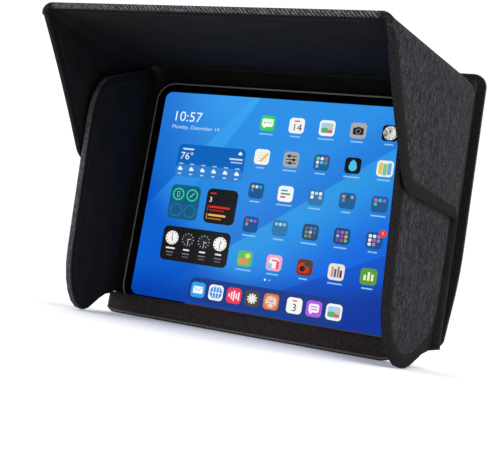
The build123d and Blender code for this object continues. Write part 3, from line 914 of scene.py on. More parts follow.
class HOOD_OT_back_panel(bpy.types.Operator):
    """Makes the back panel with the narrow walls and the spine that carry its folds"""
    bl_idname = "hood.back_panel"
    bl_label = "Back Panel"

    def execute(self, context):
        bound_panel(
            "back", "back_panel", BACK_OUTLINE, BACK_CORNERS, [CORE_INSET] * 8, PANEL, lay_back, fabrics()
        )
        for side, lay in (("right", 1.0), ("left", -1.0)):
            section = np.array(
                [
                    (153.7, 95.2), (153.9, 104.0), (153.8, 114.6), (150.2, 114.6), (149.9, 104.0),
                    (150.0, 95.2), (151.8, 94.5)
                ]
            )
            z = 19 + 218 * np.array([0.0, 0.004, 0.012, 0.25, 0.5, 0.75, 0.988, 0.996, 1.0])
            tuck = np.array([0.8, 0.4, 0.0, 0.0, 0.0, 0.0, 0.0, 0.4, 0.8])[:, None]
            x = 151.9 + (section[None, :, 0] - 151.9) * (1 - tuck / 2)
            points = np.stack([x * lay, section[None, :, 1] + 0 * x, z[:, None] + 0 * x], -1)
            girth = run_length(np.vstack([section, section[:1]]))
            wall = surface(
                f"{side}_side_wall_cloth", points, np.stack(np.meshgrid(z, girth, indexing="ij"), -1),
                finish_of("lining")
            )
            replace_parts(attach(wall, "back_panel"), f"{side}_side_wall")
        y = np.array([94.9, 97.0, 103.0, 109.0, 112.5, 114.6])
        half = visor_half(y)[:, None] - 8.0
        edge = np.linspace(-1, 1, 41)[None]
        across = half * np.sign(edge) * np.abs(edge) ** 0.8
        crown = 0.5 * (1 - edge**8)
        top = np.stack(
            [
                across, y[:, None] + 0 * across,
                visor_top(y)[:, None] - 0.6 + crown - shoulder_drop(across, y[:, None])
            ],
            -1
        )
        under = np.stack([across, y[:, None] + 0 * across, visor_top(y)[:, None] - PANEL + 0 * across], -1)
        spine = ribbon_surface("top_spine_cloth", top, under, y, finish_of("cloth"))
        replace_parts(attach(spine, "back_panel"), "top_spine")
        return {"FINISHED"}


class HOOD_OT_visor(bpy.types.Operator):
    """Makes the visor, bound along its front edge"""
    bl_idname = "hood.visor"
    bl_label = "Visor"

    def execute(self, context):
        length = (FOLD_Y - FRONT_Y) / cos(VISOR_DROP)
        rear = VISOR_HALF_REAR - SHOULDER_REAR
        front = VISOR_HALF_FRONT - SHOULDER_FRONT
        points = [(rear, HINGE_GAP), (front, length), (-front, length), (-rear, HINGE_GAP)]
        bound_panel(
            "visor", "visor", points, [1, 1, 1, 1], [0.0, CORE_INSET, 0.0, 0.3], PANEL, lay_visor,
            fabrics(), sides=(1, 2), own_board=True
        )
        return {"FINISHED"}


class HOOD_OT_wings(bpy.types.Operator):
    """Makes the two side wings"""
    bl_idname = "hood.wings"
    bl_label = "Wings"

    def execute(self, context):
        for side, lay in (("right", lay_wing), ("left", to_left(lay_wing))):
            # The left wing's tape has the stronger painted highlight along its fold.
            bound_panel(
                f"{side}_wing", f"{side}_wing", WING_OUTLINE, WING_CORNERS, [CORE_INSET] * 5, PANEL, lay,
                fabrics("tape" if side == "right" else "lit_fold_tape"), shares=WING_TAPE_SHARES
            )
        return {"FINISHED"}


class HOOD_OT_flaps(bpy.types.Operator):
    """Makes the two flaps, bound in front and along the hem"""
    bl_idname = "hood.flaps"
    bl_label = "Flaps"

    def execute(self, context):
        rear = FOLD_Y - HINGE_GAP
        points = [
            (rear, FLAP_FOOT + FLAP_HEM_RISE), (FLAP_FOOT_Y, FLAP_FOOT),
            (FRONT_Y, visor_top(FRONT_Y) - SHOULDER_FRONT), (rear, visor_top(rear) - SHOULDER_REAR),
        ]
        for side, lay in (("right", lay_flap), ("left", to_left(lay_flap))):
            bound_panel(
                f"{side}_flap", f"{side}_flap", points, [2, 25, 1, 1], [CORE_INSET, CORE_INSET, 0.0, 0.0],
                FLAP, lay, fabrics("tape"), sides=(0, 2), own_board=True
            )
        return {"FINISHED"}


class HOOD_OT_folds(bpy.types.Operator):
    """Makes the cloth that crosses the folds, curved between the two panels of each"""
    bl_idname = "hood.folds"
    bl_label = "Folds"

    def shoulder(self, side, flip):
        """The soft shoulder from visor to flap: outer cloth, lining and the tape on its front."""
        y = np.linspace(FRONT_Y + 1.0, FOLD_Y - HINGE_GAP, 44)
        share = np.concatenate([[-1.6, -0.8], np.linspace(0, 1, 13), [1.8, 2.6]])
        yy, ss = np.meshgrid(y, share, indexing="ij")
        thick = PANEL + (FLAP - PANEL) * np.clip(ss, 0, 1)
        layers = (
            ("shoulder_cloth", 0.2, 2.0, "cloth", "outer_fabric"),
            ("shoulder_lining", thick - 1.4, thick - 0.2, "lining", "lining_fabric")
        )
        made = []
        for word, outer, inner, finish, slot in layers:
            top, under = (lay_shoulder(yy, ss, depth) * flip for depth in (outer, inner))
            piece = ribbon_surface(f"{side}_{word}", top, under, y, finish_of(finish))
            girth = float(run_length(top[len(y) // 2])[-1])
            made.append((piece, slot))
        visor_edge, flap_edge = tape_profile(PANEL), tape_profile(FLAP)
        # The tape's width runs back along the visor at one end and square to the flap's
        # slanting front edge at the other, so it fans out as it turns the corner.
        turn = np.concatenate([[-1.6, -0.8], np.linspace(0, 1, 18), [1.0]])
        tt, inset = np.meshgrid(turn, visor_edge[:, 0], indexing="ij")
        past = np.zeros_like(tt)
        past[-1] = 1.0
        part = np.clip(tt, 0, 1)
        front = np.array([FLAP_FOOT_Y - FRONT_Y, FLAP_FOOT - visor_top(FRONT_Y) + SHOULDER_FRONT])
        front /= np.hypot(*front)
        flap_y = FRONT_Y - front[1] * inset + front[0] * past
        flap_z = visor_top(FRONT_Y) - SHOULDER_FRONT + front[0] * inset + front[1] * past
        y_at = FRONT_Y + inset * cos(VISOR_DROP) * (1 - part) + (flap_y - FRONT_Y) * part
        height = visor_edge[:, 1] + (flap_edge - visor_edge)[:, 1] * part
        points = lay_shoulder(
            y_at, np.where(tt < 0, tt, part * shoulder_share(flap_y, flap_z)), height
        ) * flip
        girth = run_length(np.vstack([flap_edge, flap_edge[:1]]))
        along = run_length(points[:, 11])
        made.append(
            (
                surface(
                    f"{side}_shoulder_tape", points,
                    np.stack(np.meshgrid(along, girth, indexing="ij"), -1), finish_of("tape")
                ),
                "binding_tape"
            )
        )
        for piece, slot in made:
            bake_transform(piece)
        return made[0][0]

    def web(self, side, sign):
        """The black cloth between a wing and the back panel, which fills in the wing's round heel.

        Each row runs forward from the back panel, round the fold and along the middle of the
        wing to its rear line. Below the heel's middle that line is the radius less the square
        root of the radius squared less the drop squared.
        """
        radius = WING_CORNERS[4]
        share = np.concatenate([np.linspace(0, 0.24, 34), np.linspace(0.26, 1, 30)])[:, None]
        behind = np.array(
            [(153.9, 113.6), (154.1, 109.0), (154.2, 103.0), (154.1, 98.0), (153.5, 95.4), (152.0, 94.0)]
        )
        run = np.linspace(0, 1, 16)[None]
        foot = np.concatenate([np.linspace(17.0, 18.6, 6), 18.8 - 9.4 * run[0]])[None]
        head = np.concatenate([np.full(6, 241.0), np.full(16, 231.0)])[None]
        z = foot + share * (head - foot)
        drop = np.clip(HEEL_MIDDLE_Z - z[:, 6:], 0, radius - 0.5)
        edge = HINGE_GAP + radius - np.sqrt(radius**2 - drop**2) + 1.6
        level = 2.3 + 0.3 * np.sin(np.pi * run) * np.clip(edge / radius, 0, 1)
        sides = []
        for lift in (-WEB_HALF_THICK, WEB_HALF_THICK):
            flat = lay_wing(edge * run**0.9, z[:, 6:], level + lift)
            rear = np.stack(
                [
                    np.broadcast_to(behind[:, 0] - lift, (64, 6)), np.broadcast_to(behind[:, 1], (64, 6)),
                    z[:, :6]
                ],
                -1
            )
            sides.append(np.concatenate([rear, flat], 1) * np.array([sign, 1.0, 1.0]))
        piece = ribbon_surface(
            f"{side}_wing_web_cloth", sides[0], sides[1], share[:, 0] * WEB_HEIGHT, finish_of("lining")
        )
        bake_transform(piece)

    def execute(self, context):
        shoulders = [
            self.shoulder(side, np.array([sign, 1.0, 1.0]))
            for side, sign in (("right", 1.0), ("left", -1.0))
        ]
        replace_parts(shoulders[0], "flap_fold_seams")
        wide = {"cloth": VISOR_HALF_REAR - SHOULDER_REAR - 1.0, "lining": VISOR_HALF_REAR - PANEL}
        x = np.linspace(-1, 1, 61)
        bend = np.linspace(-1, 1, 11)
        reach = 9.0
        xx, bb = np.meshgrid(x, bend, indexing="ij")
        y = FOLD_Y - bb * reach
        hump = 0.35 * (1 - bb**2)
        outer = np.stack([xx * wide["cloth"], y, visor_top(y) + 0.3 + hump], -1)
        inner = np.stack([xx * wide["cloth"], y, visor_top(y) - 0.5 + hump], -1)
        top = ribbon_surface("visor_fold_cloth", outer, inner, x * wide["cloth"], finish_of("cloth"))
        outer = np.stack([xx * wide["lining"], y, visor_top(y) - PANEL - 0.5 - hump], -1)
        inner = np.stack([xx * wide["lining"], y, visor_top(y) - PANEL + 0.2 - hump], -1)
        under = ribbon_surface("visor_fold_lining", outer, inner, x * wide["lining"], finish_of("lining"))
        for piece, slot, half in (
            (top, "outer_fabric", wide["cloth"]), (under, "lining_fabric", wide["lining"])
        ):
            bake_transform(piece)
        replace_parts(top, "hood_fold_seams")
        for side, sign in (("right", 1.0), ("left", -1.0)):
            self.web(side, sign)
        return {"FINISHED"}


class HOOD_OT_lip(bpy.types.Operator):
    """Makes the padded lip that holds the tablet's foot, with its piping"""
    bl_idname = "hood.lip"
    bl_label = "Lip"

    def execute(self, context):
        section = np.array([
            (-5.0, 0.02), (-6.3, 0.9), (-6.9, 3.2), (-7.15, 6.4), (-7.2, 9.5), (-7.05, 12.6),
            (-6.6, 15.4), (-5.6, 17.7),
            (-4.1, 18.9), (-2.5, 18.9), (-1.3, 17.8), (-0.75, 15.8), (-0.6, 13.4), (-0.6, 11.2),
            (-0.2, 10.85), (4.0, 10.85),
            (7.5, 10.8), (7.9, 10.2), (7.9, 0.6), (7.4, 0.02), (1.0, 0.02),
        ])
        t = np.linspace(0, np.pi, 61)
        x = (LIP_LEFT + LIP_RIGHT) / 2 - (LIP_RIGHT - LIP_LEFT) / 2 * np.cos(t)
        x = np.sort(np.concatenate([x, np.linspace(LIP_LEFT + 20, LIP_RIGHT - 20, 80)]))
        left, right = x - LIP_LEFT, LIP_RIGHT - x
        rise = [
            r - np.sqrt(np.maximum(r * r - np.maximum(r - d, 0) ** 2, 0))
            for r, d in ((LIP_END_LEFT, left), (LIP_END_RIGHT, right))
        ]
        foot = np.minimum(rise[0] + rise[1], 16.0)[:, None]
        near = np.minimum(left, right)[:, None]
        slim = 1 - 0.5 * np.exp(-near / 1.2)
        wave = 0.16 * np.sin(x / 6.3) * np.sin(x / 15.7)
        y = GLASS_Y - 0.6 + (section[None, :, 0] + 0.6) * np.where(
            section[None, :, 0] < -0.6, slim, 1.0
        ) - wave[:, None] * (section[None, :, 0] < -5)
        z = foot + section[None, :, 1] * (1 - foot / LIP_HEIGHT)
        points = np.stack([x[:, None] + 0 * y, y, z], -1)
        girth = run_length(np.vstack([section, section[:1]]))
        pad = surface(
            "lip_pad", points, np.stack(np.meshgrid(x, girth, indexing="ij"), -1), finish_of("lip"),
            sharp=80
        )
        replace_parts(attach(pad, "back_panel"), "lip_cover", "lip_cushion")
        keep = (left > 1.5) & (right > 3)
        px, pz = x[keep], foot[keep, 0] * 0.92 + 1.9
        around = np.arange(10) / 10 * 2 * np.pi
        cord = np.stack([
            px[:, None] + 0 * around,
            GLASS_Y - LIP_DEPTH - 0.55 + 0.85 * np.cos(around)[None] + 0 * px[:, None],
            pz[:, None] + 0.95 * np.sin(around)[None],
        ], -1)
        piping = surface(
            "lip_piping_cord", cord, np.stack(np.meshgrid(px, np.arange(11) * 0.55, indexing="ij"), -1),
            finish_of("piping")
        )
        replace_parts(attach(piping, "back_panel"), "lip_piping")
        rows = []
        for level, depth in ((4.6, 7.1), (15.6, 6.75)):
            sx = np.linspace(LIP_LEFT + 9, LIP_RIGHT - 16, 120)
            line = np.stack([sx, np.full(120, GLASS_Y - depth - 0.05), np.full(120, level)], -1)
            rows.append((line, np.tile([0.0, -1.0, 0.0], (120, 1))))
        seam = stitches("lip_stitches", rows, finish_of("thread"))
        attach(seam, "back_panel")
        return {"FINISHED"}


class HOOD_OT_patches(bpy.types.Operator):
    """Makes the hook and loop patches that hold the flaps to the wings"""
    bl_idname = "hood.patches"
    bl_label = "Hook and Loop Patches"

    def execute(self, context):
        for side, flip in (("right", lambda lay: lay), ("left", to_left)):
            for word, lay, middle, size, levels in (
                ("wing_loop", lay_wing, (94.0, 143.0), (17.0, 9.0), (0.4, -0.8)),
                ("flap_hook", lay_flap, (GLASS_Y - 106.0, 143.0), (15.0, 7.0), (FLAP - 0.4, FLAP + 0.8)),
            ):
                turn = np.linspace(0, 2 * np.pi, 41)[:-1]
                square = np.stack(
                    [
                        np.sign(np.cos(turn)) * np.abs(np.cos(turn)) ** 0.35,
                        np.sign(np.sin(turn)) * np.abs(np.sin(turn)) ** 0.35
                    ],
                    -1
                )
                grow = np.array([0.05, 0.5, 0.8, 0.93, 0.985, 1.0, 1.0, 0.5, 0.05])
                rise = np.array([1.0, 1.0, 1.0, 0.97, 0.85, 0.6, 0.0, 0.0, 0.0])
                rings = np.array(middle) + square[None] * np.array(size) * grow[:, None, None]
                height = (levels[0] + (levels[1] - levels[0]) * rise)[:, None] + 0 * turn[None]
                points = flip(lay)(rings[..., 0], rings[..., 1], height)
                patch = surface(
                    f"{side}_{word}_pile", points, np.concatenate([rings, rings[:, :1]], 1),
                    finish_of("pile")
                )
                node = f"{side}_{word}_patch"
                body = f"{side}_{word.split('_')[0]}"
                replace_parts(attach(patch, body), node)
        return {"FINISHED"}


class HOOD_OT_carried_over(bpy.types.Operator):
    """Gives the tablet's own parts, the boards and the grip pads their finishes"""
    bl_idname = "hood.carried_over"
    bl_label = "Tablet and Boards"

    def execute(self, context):
        for node, finish in CARRIED_OVER.items():
            dress(node, finish)
        return {"FINISHED"}


# ---------------------------------------------------------------- the home screen
# Places on the screen are millimetres right of and below its upper left corner.
ICON = 14.4
ICON_COLUMNS = (107.2, 135.1, 163.4, 191.7, 219.9)
ICON_ROWS = (23.4, 55.0, 86.6, 118.0, 149.4)
ICON_TILES = (
    ("3ccf63", "f4f4f6", "f6f6f6", "a9aab0", "111214"),
    ("f5f4f2", "a6a8ad", "1b5f97", "101315", "e9eef0"),
    ("16548f", "f5f5f5", "2e78ae", "1d5d97", "1d5c93"),
    ("14508f", "2f77ae", "1d4a78", "21436f", "1c4f86"),
    ("5bbf6d", "f0a9c4", "7b2a1c", "efe2d8", "5f9a34"),
)
DOCK_X = (67.6, 85.3, 102.9, 120.3, 138.1, 159.6, 177.3, 195.1)
DOCK_Y = 183.8
DOCK_TILES = ("2f9df2", "f4f6f8", "f0375b", "4a4744", "e07a3a", "f6f6f6", "b45ce0", "f6f6f6")


def bar(x, y, wide, tall, colour, level=2, corner=None, turn=0.0):
    """One mark: a rounded rectangle, by its middle, as a row of numbers."""
    corner = min(wide, tall) / 2 if corner is None else corner
    return [x, y, wide, tall, corner, turn, level, *linear(colour)]


def dot(x, y, radius, colour, level=2):
    """A round mark."""
    return bar(x, y, 2 * radius, 2 * radius, colour, level)


def dial(x, y, radius, face, hand, hour, minute):
    """A clock face: twelve ticks, two hands and a hub."""
    marks = [dot(x, y, radius, face)]
    for k in range(12):
        a = radians(30 * k)
        marks.append(
            bar(
                x + 0.84 * radius * sin(a), y - 0.84 * radius * cos(a), 0.1 * radius, 0.2 * radius, hand,
                3, turn=-a
            )
        )
    for angle, reach, wide in ((radians(hour), 0.5, 0.13), (radians(minute), 0.74, 0.09)):
        marks.append(
            bar(
                x + reach / 2 * radius * sin(angle), y - reach / 2 * radius * cos(angle), wide * radius,
                reach * radius, hand, 4, turn=-angle
            )
        )
    return marks + [dot(x, y, 0.1 * radius, "e08a2c", 5)]


def landscape(x, y):
    """A plain picture: sky, sun and two hills."""
    return [
        bar(x, y, 11.2, 9.4, "9fd0f0", 3, 1.2), dot(x + 2.8, y - 2.1, 1.3, "f4c542", 4),
        bar(x - 1.9, y + 2.1, 6.6, 4.6, "5fae6a", 4, 2.2), bar(x + 2.4, y + 2.9, 5.4, 3.0, "d9684f", 5, 1.4),
    ]


def folder(x, y, colours):
    """A folder's small tiles, three to a row."""
    return [
        bar(x - 3.7 + 3.7 * (k % 3), y - 3.6 + 3.6 * (k // 3), 2.7, 2.7, colour, 3, 0.7)
        for k, colour in enumerate(colours) if colour
    ]


def icon_marks():
    """The plain signs on the icons, each of a general kind."""
    (a, b, c, d, e), (p, q, r, s, t) = ICON_COLUMNS, ICON_ROWS
    marks = [
        bar(a, p - 0.6, 10.6, 7.4, "fbfff9", 3, 1.5),
        bar(a - 2.6, p + 3.2, 2.2, 2.2, "fbfff9", 3, 0.4, 0.7)
    ]
    marks += [dot(a + 2.8 * k, p - 0.6, 0.85, "3ccf63", 4) for k in (-1, 0, 1)]
    marks += [bar(b, p - 4.2, 5.4, 1.3, "e0443e", 3)] + landscape(c, p)
    marks += [
        bar(d, p + 0.6, 9.6, 6.4, "26262a", 3, 1.4), bar(d, p - 2.6, 3.8, 1.6, "26262a", 3, 0.5),
        dot(d, p + 0.6, 2.3, "8d8e94", 4), dot(d, p + 0.6, 1.7, "17171a", 5)
    ]
    marks += dial(e, p, 6.2, "f7f6f0", "17181a", -12, 6)
    marks += [bar(a, q - 3.6 + 2.4 * k, 10.0, 0.4, "c9c7c2", 3) for k in range(4)]
    marks += [bar(a + 2.2, q + 0.4, 2.0, 10.6, "f0b92e", 4, 0.6, -0.7)]
    for level, knob in ((-3.2, -2.2), (0.0, 2.4), (3.2, -0.8)):
        marks += [bar(b, q + level, 10.0, 0.9, "2c2d31", 3), dot(b + knob, q + level, 1.5, "2c2d31", 4)]
    marks += folder(c, q, ("7ed957", "e8eef2", "d94b58", "e8eef2", "57c7d9", "49a36b", "9aa9b8"))
    marks += [bar(d, q + 1.2, 7.4, 7.4, "4cc3ea", 3, 3.7), bar(d, q - 2.3, 4.6, 4.6, "4cc3ea", 3, 0.6, 0.785)]
    marks += [
        bar(e + 3.8 * k, q + 0.8 * (k == 0), 3.4, 10.2, colour, 3, 0.5)
        for k, colour in ((-1, "e3c55c"), (0, "7fc48c"), (1, "6aa9d8"))
    ]
    marks += folder(a, r, ("e8c15a", "d9dee4", "3aa0c8", "5b7fa3"))
    marks += [
        bar(b - 4.6 + wide / 2, r + dy, wide, 1.6, colour, 3)
        for dy, wide, colour in ((-3.0, 6.4, "3f9fd0"), (0.0, 9.2, "3aa06e"), (3.0, 5.0, "c94a72"))
    ]
    marks += folder(c, r, ("f1f4f6", "c9d5df", "eef2f5", "f1f4f6", None, "b9c9d6"))
    marks += folder(d, r, ("d99a44", "3b4650", "8fa9bd", "6f8ba3"))
    marks += folder(e, r, ("d760c2", "45c0d8", "a65be0", "59c178"))
    marks += folder(a, s, ("d94b58", "5c9ce0", "b94bc9", "8c98a6"))
    marks += folder(b, s, ("9cc3dd", "c5dbe9", "9cc3dd"))
    marks += folder(
        c, s, ("8a5a3c", "5a7fb0", "3d8a7a", "7a8794", "b8c4cc", "4a6a8a", "6a9a6a", "a07a4a", "3a4a5a")
    )
    marks += folder(
        d, s, ("6a5ae0", "d05a8a", "4aa0d0", "a0a8d0", "8a4ac0", "e0a04a", "4a5ac0", "c04a6a", "5ac0a0")
    )
    marks += folder(
        e, s, ("e8edf2", "e8edf2", "d760c2", "e8edf2", "d94b9a", "7a8ad0", "e8edf2", "8a9ab0", None)
    )
    marks += [
        dot(e + 6.6, s - 6.6, 3.3, "ec3b2f", 4), bar(e + 6.6, s - 6.9, 0.6, 2.4, "ffd9d4", 5),
        dot(e, s + 10.6, 1.1, "5a7fa8", 2)
    ]
    marks += [dot(a + 2.4, t - 2.6, 2.3, "f2e05a", 3), bar(a - 1.2, t + 2.6, 9.6, 5.0, "ef8f4d", 3, 2.4)]
    marks += [
        bar(b, t, 9.6, 9.6, "f7f0f2", 3, 3.4), bar(b - 3.4, t + 3.4, 3.4, 6.0, "7fc8e8", 4),
        bar(b + 3.4, t + 1.6, 2.6, 7.6, "e8547c", 4), bar(b, t - 2.2, 5.4, 1.4, "e8547c", 4)
    ]
    marks += [
        bar(c - 1.0, t + 0.6, 10.4, 9.2, "c23a22", 3, 3.6),
        bar(c + 2.4, t - 3.2, 6.2, 4.6, "2c4a44", 4, 1.8), dot(c - 2.0, t + 1.4, 2.6, "35100c", 4)
    ]
    books = ((-3.4, 8.8, "c98f6a"), (-0.8, 7.2, "3a5bb0"), (1.8, 9.6, "8a7f86"), (4.2, 6.4, "3b2b3f"))
    marks += [
        bar(d + across, t + 4.6 - tall / 2, 1.9, tall, colour, 3, 0.4) for across, tall, colour in books
    ]
    marks += [
        bar(e + 3.2 * k, t + 3.4 - tall / 2, 2.0, tall, "eaf6d2", 3, 0.5)
        for k, tall in ((-1, 4.6), (0, 7.4), (1, 5.8))
    ]
    return marks


def dock_marks():
    """The plain signs in the dock."""
    a, b, c, d, e, f, g, h = DOCK_X
    y = DOCK_Y
    marks = [
        bar(a, y, 9.6, 6.6, "f4faff", 3, 1.0), bar(a - 2.3, y - 0.9, 5.6, 0.5, "2f9df2", 4, turn=-0.6),
        bar(a + 2.3, y - 0.9, 5.6, 0.5, "2f9df2", 4, turn=0.6)
    ]
    marks += [
        dot(b, y, 6.0, "2f8fe8", 3), bar(b, y, 6.4, 11.8, "f7f9fb", 4, 3.2),
        bar(b, y, 5.0, 10.6, "2f8fe8", 5, 2.5)
    ]
    marks += [bar(b, y, 11.8, 0.7, "f7f9fb", 6), bar(b, y, 0.7, 11.8, "f7f9fb", 6)]
    marks += [
        bar(c + 2.3 * k, y, 1.3, tall, "fff1f4", 3)
        for k, tall in zip((-2, -1, 0, 1, 2), (3.4, 6.8, 9.4, 5.2, 7.6))
    ]
    marks += [bar(d, y, 1.5, 9.6, "f1efe9", 3, turn=k * np.pi / 5) for k in range(5)]
    marks += dial(e, y, 5.4, "f7f3ea", "3a2c20", 60, 300)
    marks += [bar(f, y - 4.2, 4.2, 1.2, "e0443e", 3)]
    marks += [
        bar(g, y - 0.6, 9.2, 7.4, "fbf4ff", 3, 2.0),
        bar(g - 2.4, y + 3.4, 2.2, 2.2, "fbf4ff", 3, 0.4, 0.7), bar(g, y - 1.8, 6.2, 0.9, "b45ce0", 4),
        bar(g, y + 0.5, 6.2, 0.9, "b45ce0", 4)
    ]
    return marks + landscape(h, y)


def widget_marks():
    """Weather, rings, list and clocks."""
    marks = [
        bar(33.5, 54.3, 11.5, 1.7, "c9e0f6"), bar(82.5, 59.8, 13.5, 1.5, "c9e0f6"),
        bar(83.5, 62.9, 11.5, 1.4, "9fc6ea"), bar(86.0, 54.6, 3.8, 1.8, "f3f8fd"),
        dot(85.8, 53.8, 1.3, "f3f8fd")
    ]
    for k in range(6):
        x = 28.4 + 11.45 * k
        marks += [
            bar(x, 68.6, 4.4, 1.2, "9fc6ea"), bar(x, 74.0, 4.6, 2.0, "f3f8fd"),
            dot(x - 0.3, 73.0, 1.5, "f3f8fd"), bar(x, 78.3, 3.4, 1.3, "b9d6f0")
        ]
    for x, y, ring, inside, level in (
        (31.4, 98.0, "38d67a", "155c7f", 2), (45.4, 98.0, "38d67a", "155c7f", 2),
        (31.4, 113.2, "3f83b4", "155c88", 2), (45.4, 113.2, "3f83b4", "155c88", 2)
    ):
        thin = 1.3 if ring == "38d67a" else 0.5
        marks += [dot(x, y, 5.9, ring, level), dot(x, y, 5.9 - thin, inside, 3)]
    marks += [
        bar(31.4, 98.0, 2.8, 5.2, "7fd3c4", 4, 0.6), bar(31.4, 98.0, 1.8, 3.8, "155c7f", 5, 0.3),
        bar(45.4, 98.0, 1.0, 6.0, "7fd3c4", 4, turn=-0.75)
    ]
    marks += [
        bar(66.4, 93.6, 6.4, 1.3, "c2333a"), bar(63.1, 107.4, 0.7, 5.6, "e02b20"),
        bar(74.6, 106.2, 20.5, 1.9, "e02b20"), bar(72.0, 109.3, 15.0, 1.4, "a3231c")
    ]
    marks += [
        bar(63.1, 115.2, 0.7, 5.6, "e79a3a"), bar(73.2, 113.9, 17.6, 1.9, "f0b455"),
        bar(71.2, 117.2, 13.8, 1.3, "a5722c")
    ]
    for x, face, hand, hour, minute in (
        (32.7, "f5f5f3", "1b1b1c", 165, -2), (48.9, "26282b", "b9bcc0", 75, 172),
        (65.1, "26282b", "b9bcc0", 105, 172), (81.1, "f5f5f3", "1b1b1c", 20, 180)
    ):
        marks += dial(x, 139.6, 6.5, face, hand, hour, minute)
        marks += [
            bar(x, 149.4, 9.4 if x < 40 else 6.4, 1.5, "e8e8ea"), bar(x, 153.2, 7.4, 1.1, "77787c"),
            bar(x, 156.0, 6.2, 1.1, "5f6064")
        ]
    return marks


def home_screen_tiles():
    """Icon tiles, widget grounds, the dock and the rows of small captions."""
    tiles = [
        bar(57.3, 65.3, 68.2, 31.4, "0f63bb", 1, 5.0), bar(57.3, 75.0, 68.2, 12.0, "2f7fd0", 1.4, 5.0),
        bar(38.4, 105.3, 30.4, 32.6, "155c88", 1, 5.0),
        bar(75.6, 105.3, 30.6, 32.6, "17181b", 1, 5.0), bar(56.8, 144.8, 67.6, 32.4, "191a1d", 1, 5.0),
        bar(131.2, 183.6, 145.6, 22.0, "133a86", 1, 6.5),
    ]
    for row, y in zip(ICON_TILES, ICON_ROWS):
        for k, (colour, x) in enumerate(zip(row, ICON_COLUMNS)):
            wide = 8.0 + 1.7 * ((k * 3 + int(y)) % 5)
            tiles += [bar(x, y, ICON, ICON, colour, 2, 3.4), bar(x, y + 10.2, wide, 1.3, "8cc4f2", 2)]
    tiles += [bar(x, DOCK_Y, ICON - 0.3, ICON - 0.3, colour, 2, 3.4) for x, colour in zip(DOCK_X, DOCK_TILES)]
    return tiles + [dot(129.2, 165.3, 0.9, "ffffff", 2), dot(133.3, 165.3, 0.8, "8fc0f0", 2)]


SCREEN_LIFT = 0.06
LEVEL_STEP = 0.035


def marks_piece(name, rows):
    """Many flat rounded rectangles just in front of the glass, from their rows of numbers.

    Round each, the place is the corner's middle plus its radius times the direction, with the
    corner chosen by the direction's signs; then it is turned and moved to its own middle.
    """
    data = np.array(rows, float)
    x, y, wide, tall, corner, turn, level = (data[:, i, None] for i in range(7))
    angle = (np.arange(24) + 0.5)[None] / 24 * 2 * np.pi
    c, s = np.cos(angle), np.sin(angle)
    px = np.sign(c) * (wide / 2 - corner) + corner * c
    py = np.sign(s) * (tall / 2 - corner) + corner * s
    rx = px * np.cos(turn) - py * np.sin(turn)
    ry = px * np.sin(turn) + py * np.cos(turn)
    depth = GLASS_Y - SCREEN_LIFT - LEVEL_STEP * level
    flat = np.stack(
        [x + rx - SCREEN_WIDTH / 2, depth + 0 * rx, SCREEN_MIDDLE + SCREEN_HEIGHT / 2 - y + ry], -1
    )
    behind = flat + np.array([0, 0.02, 0])
    uv = np.zeros((2, 25, 2))
    piece = surface(name, np.stack([flat, behind], 1), uv, finish_of("marks"), tints=data[:, 7:10])
    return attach(piece, "tablet")


def lettering(name, rows):
    """Numbers in a plain typeface, turned into one mesh. rows is [(text, x, y, height, colour)]."""
    places, faces, tints = [], [], []
    for text, x, y, tall, colour in rows:
        curve = bpy.data.curves.new(name, "FONT")
        curve.body = text
        curve.size = tall * MM / 0.7
        curve.extrude = 0.008 * MM
        curve.resolution_u = 3
        writing = bpy.data.objects.new(name, curve)
        bpy.context.scene.collection.objects.link(writing)
        bpy.context.view_layer.update()
        mesh = bpy.data.meshes.new_from_object(writing)
        bpy.data.objects.remove(writing)
        bpy.data.curves.remove(curve)
        start = sum(len(part) for part in places)
        flat = np.empty(3 * len(mesh.vertices))
        mesh.vertices.foreach_get("co", flat)
        flat = flat.reshape(-1, 3)
        faces += [[start + i for i in face.vertices] for face in mesh.polygons]
        depth = (GLASS_Y - SCREEN_LIFT - 6.5 * LEVEL_STEP) * MM - flat[:, 2]
        places.append(
            np.stack(
                [
                    flat[:, 0] + (x - SCREEN_WIDTH / 2) * MM, depth,
                    flat[:, 1] + (SCREEN_MIDDLE + SCREEN_HEIGHT / 2 - y) * MM
                ],
                -1
            )
        )
        tints.append(np.tile([*linear(colour), 1.0], (len(flat), 1)))
        bpy.data.meshes.remove(mesh)
    mesh = bpy.data.meshes.new(name)
    mesh.from_pydata(np.concatenate(places).tolist(), [], faces)
    mesh.attributes.new("tint", "FLOAT_COLOR", "POINT").data.foreach_set(
        "color", np.concatenate(tints).astype(np.float32).ravel()
    )
    mesh.materials.append(finish_of("marks"))
    made = bpy.data.objects.new(name, mesh)
    bpy.context.scene.collection.objects.link(made)
    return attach(made, "tablet")


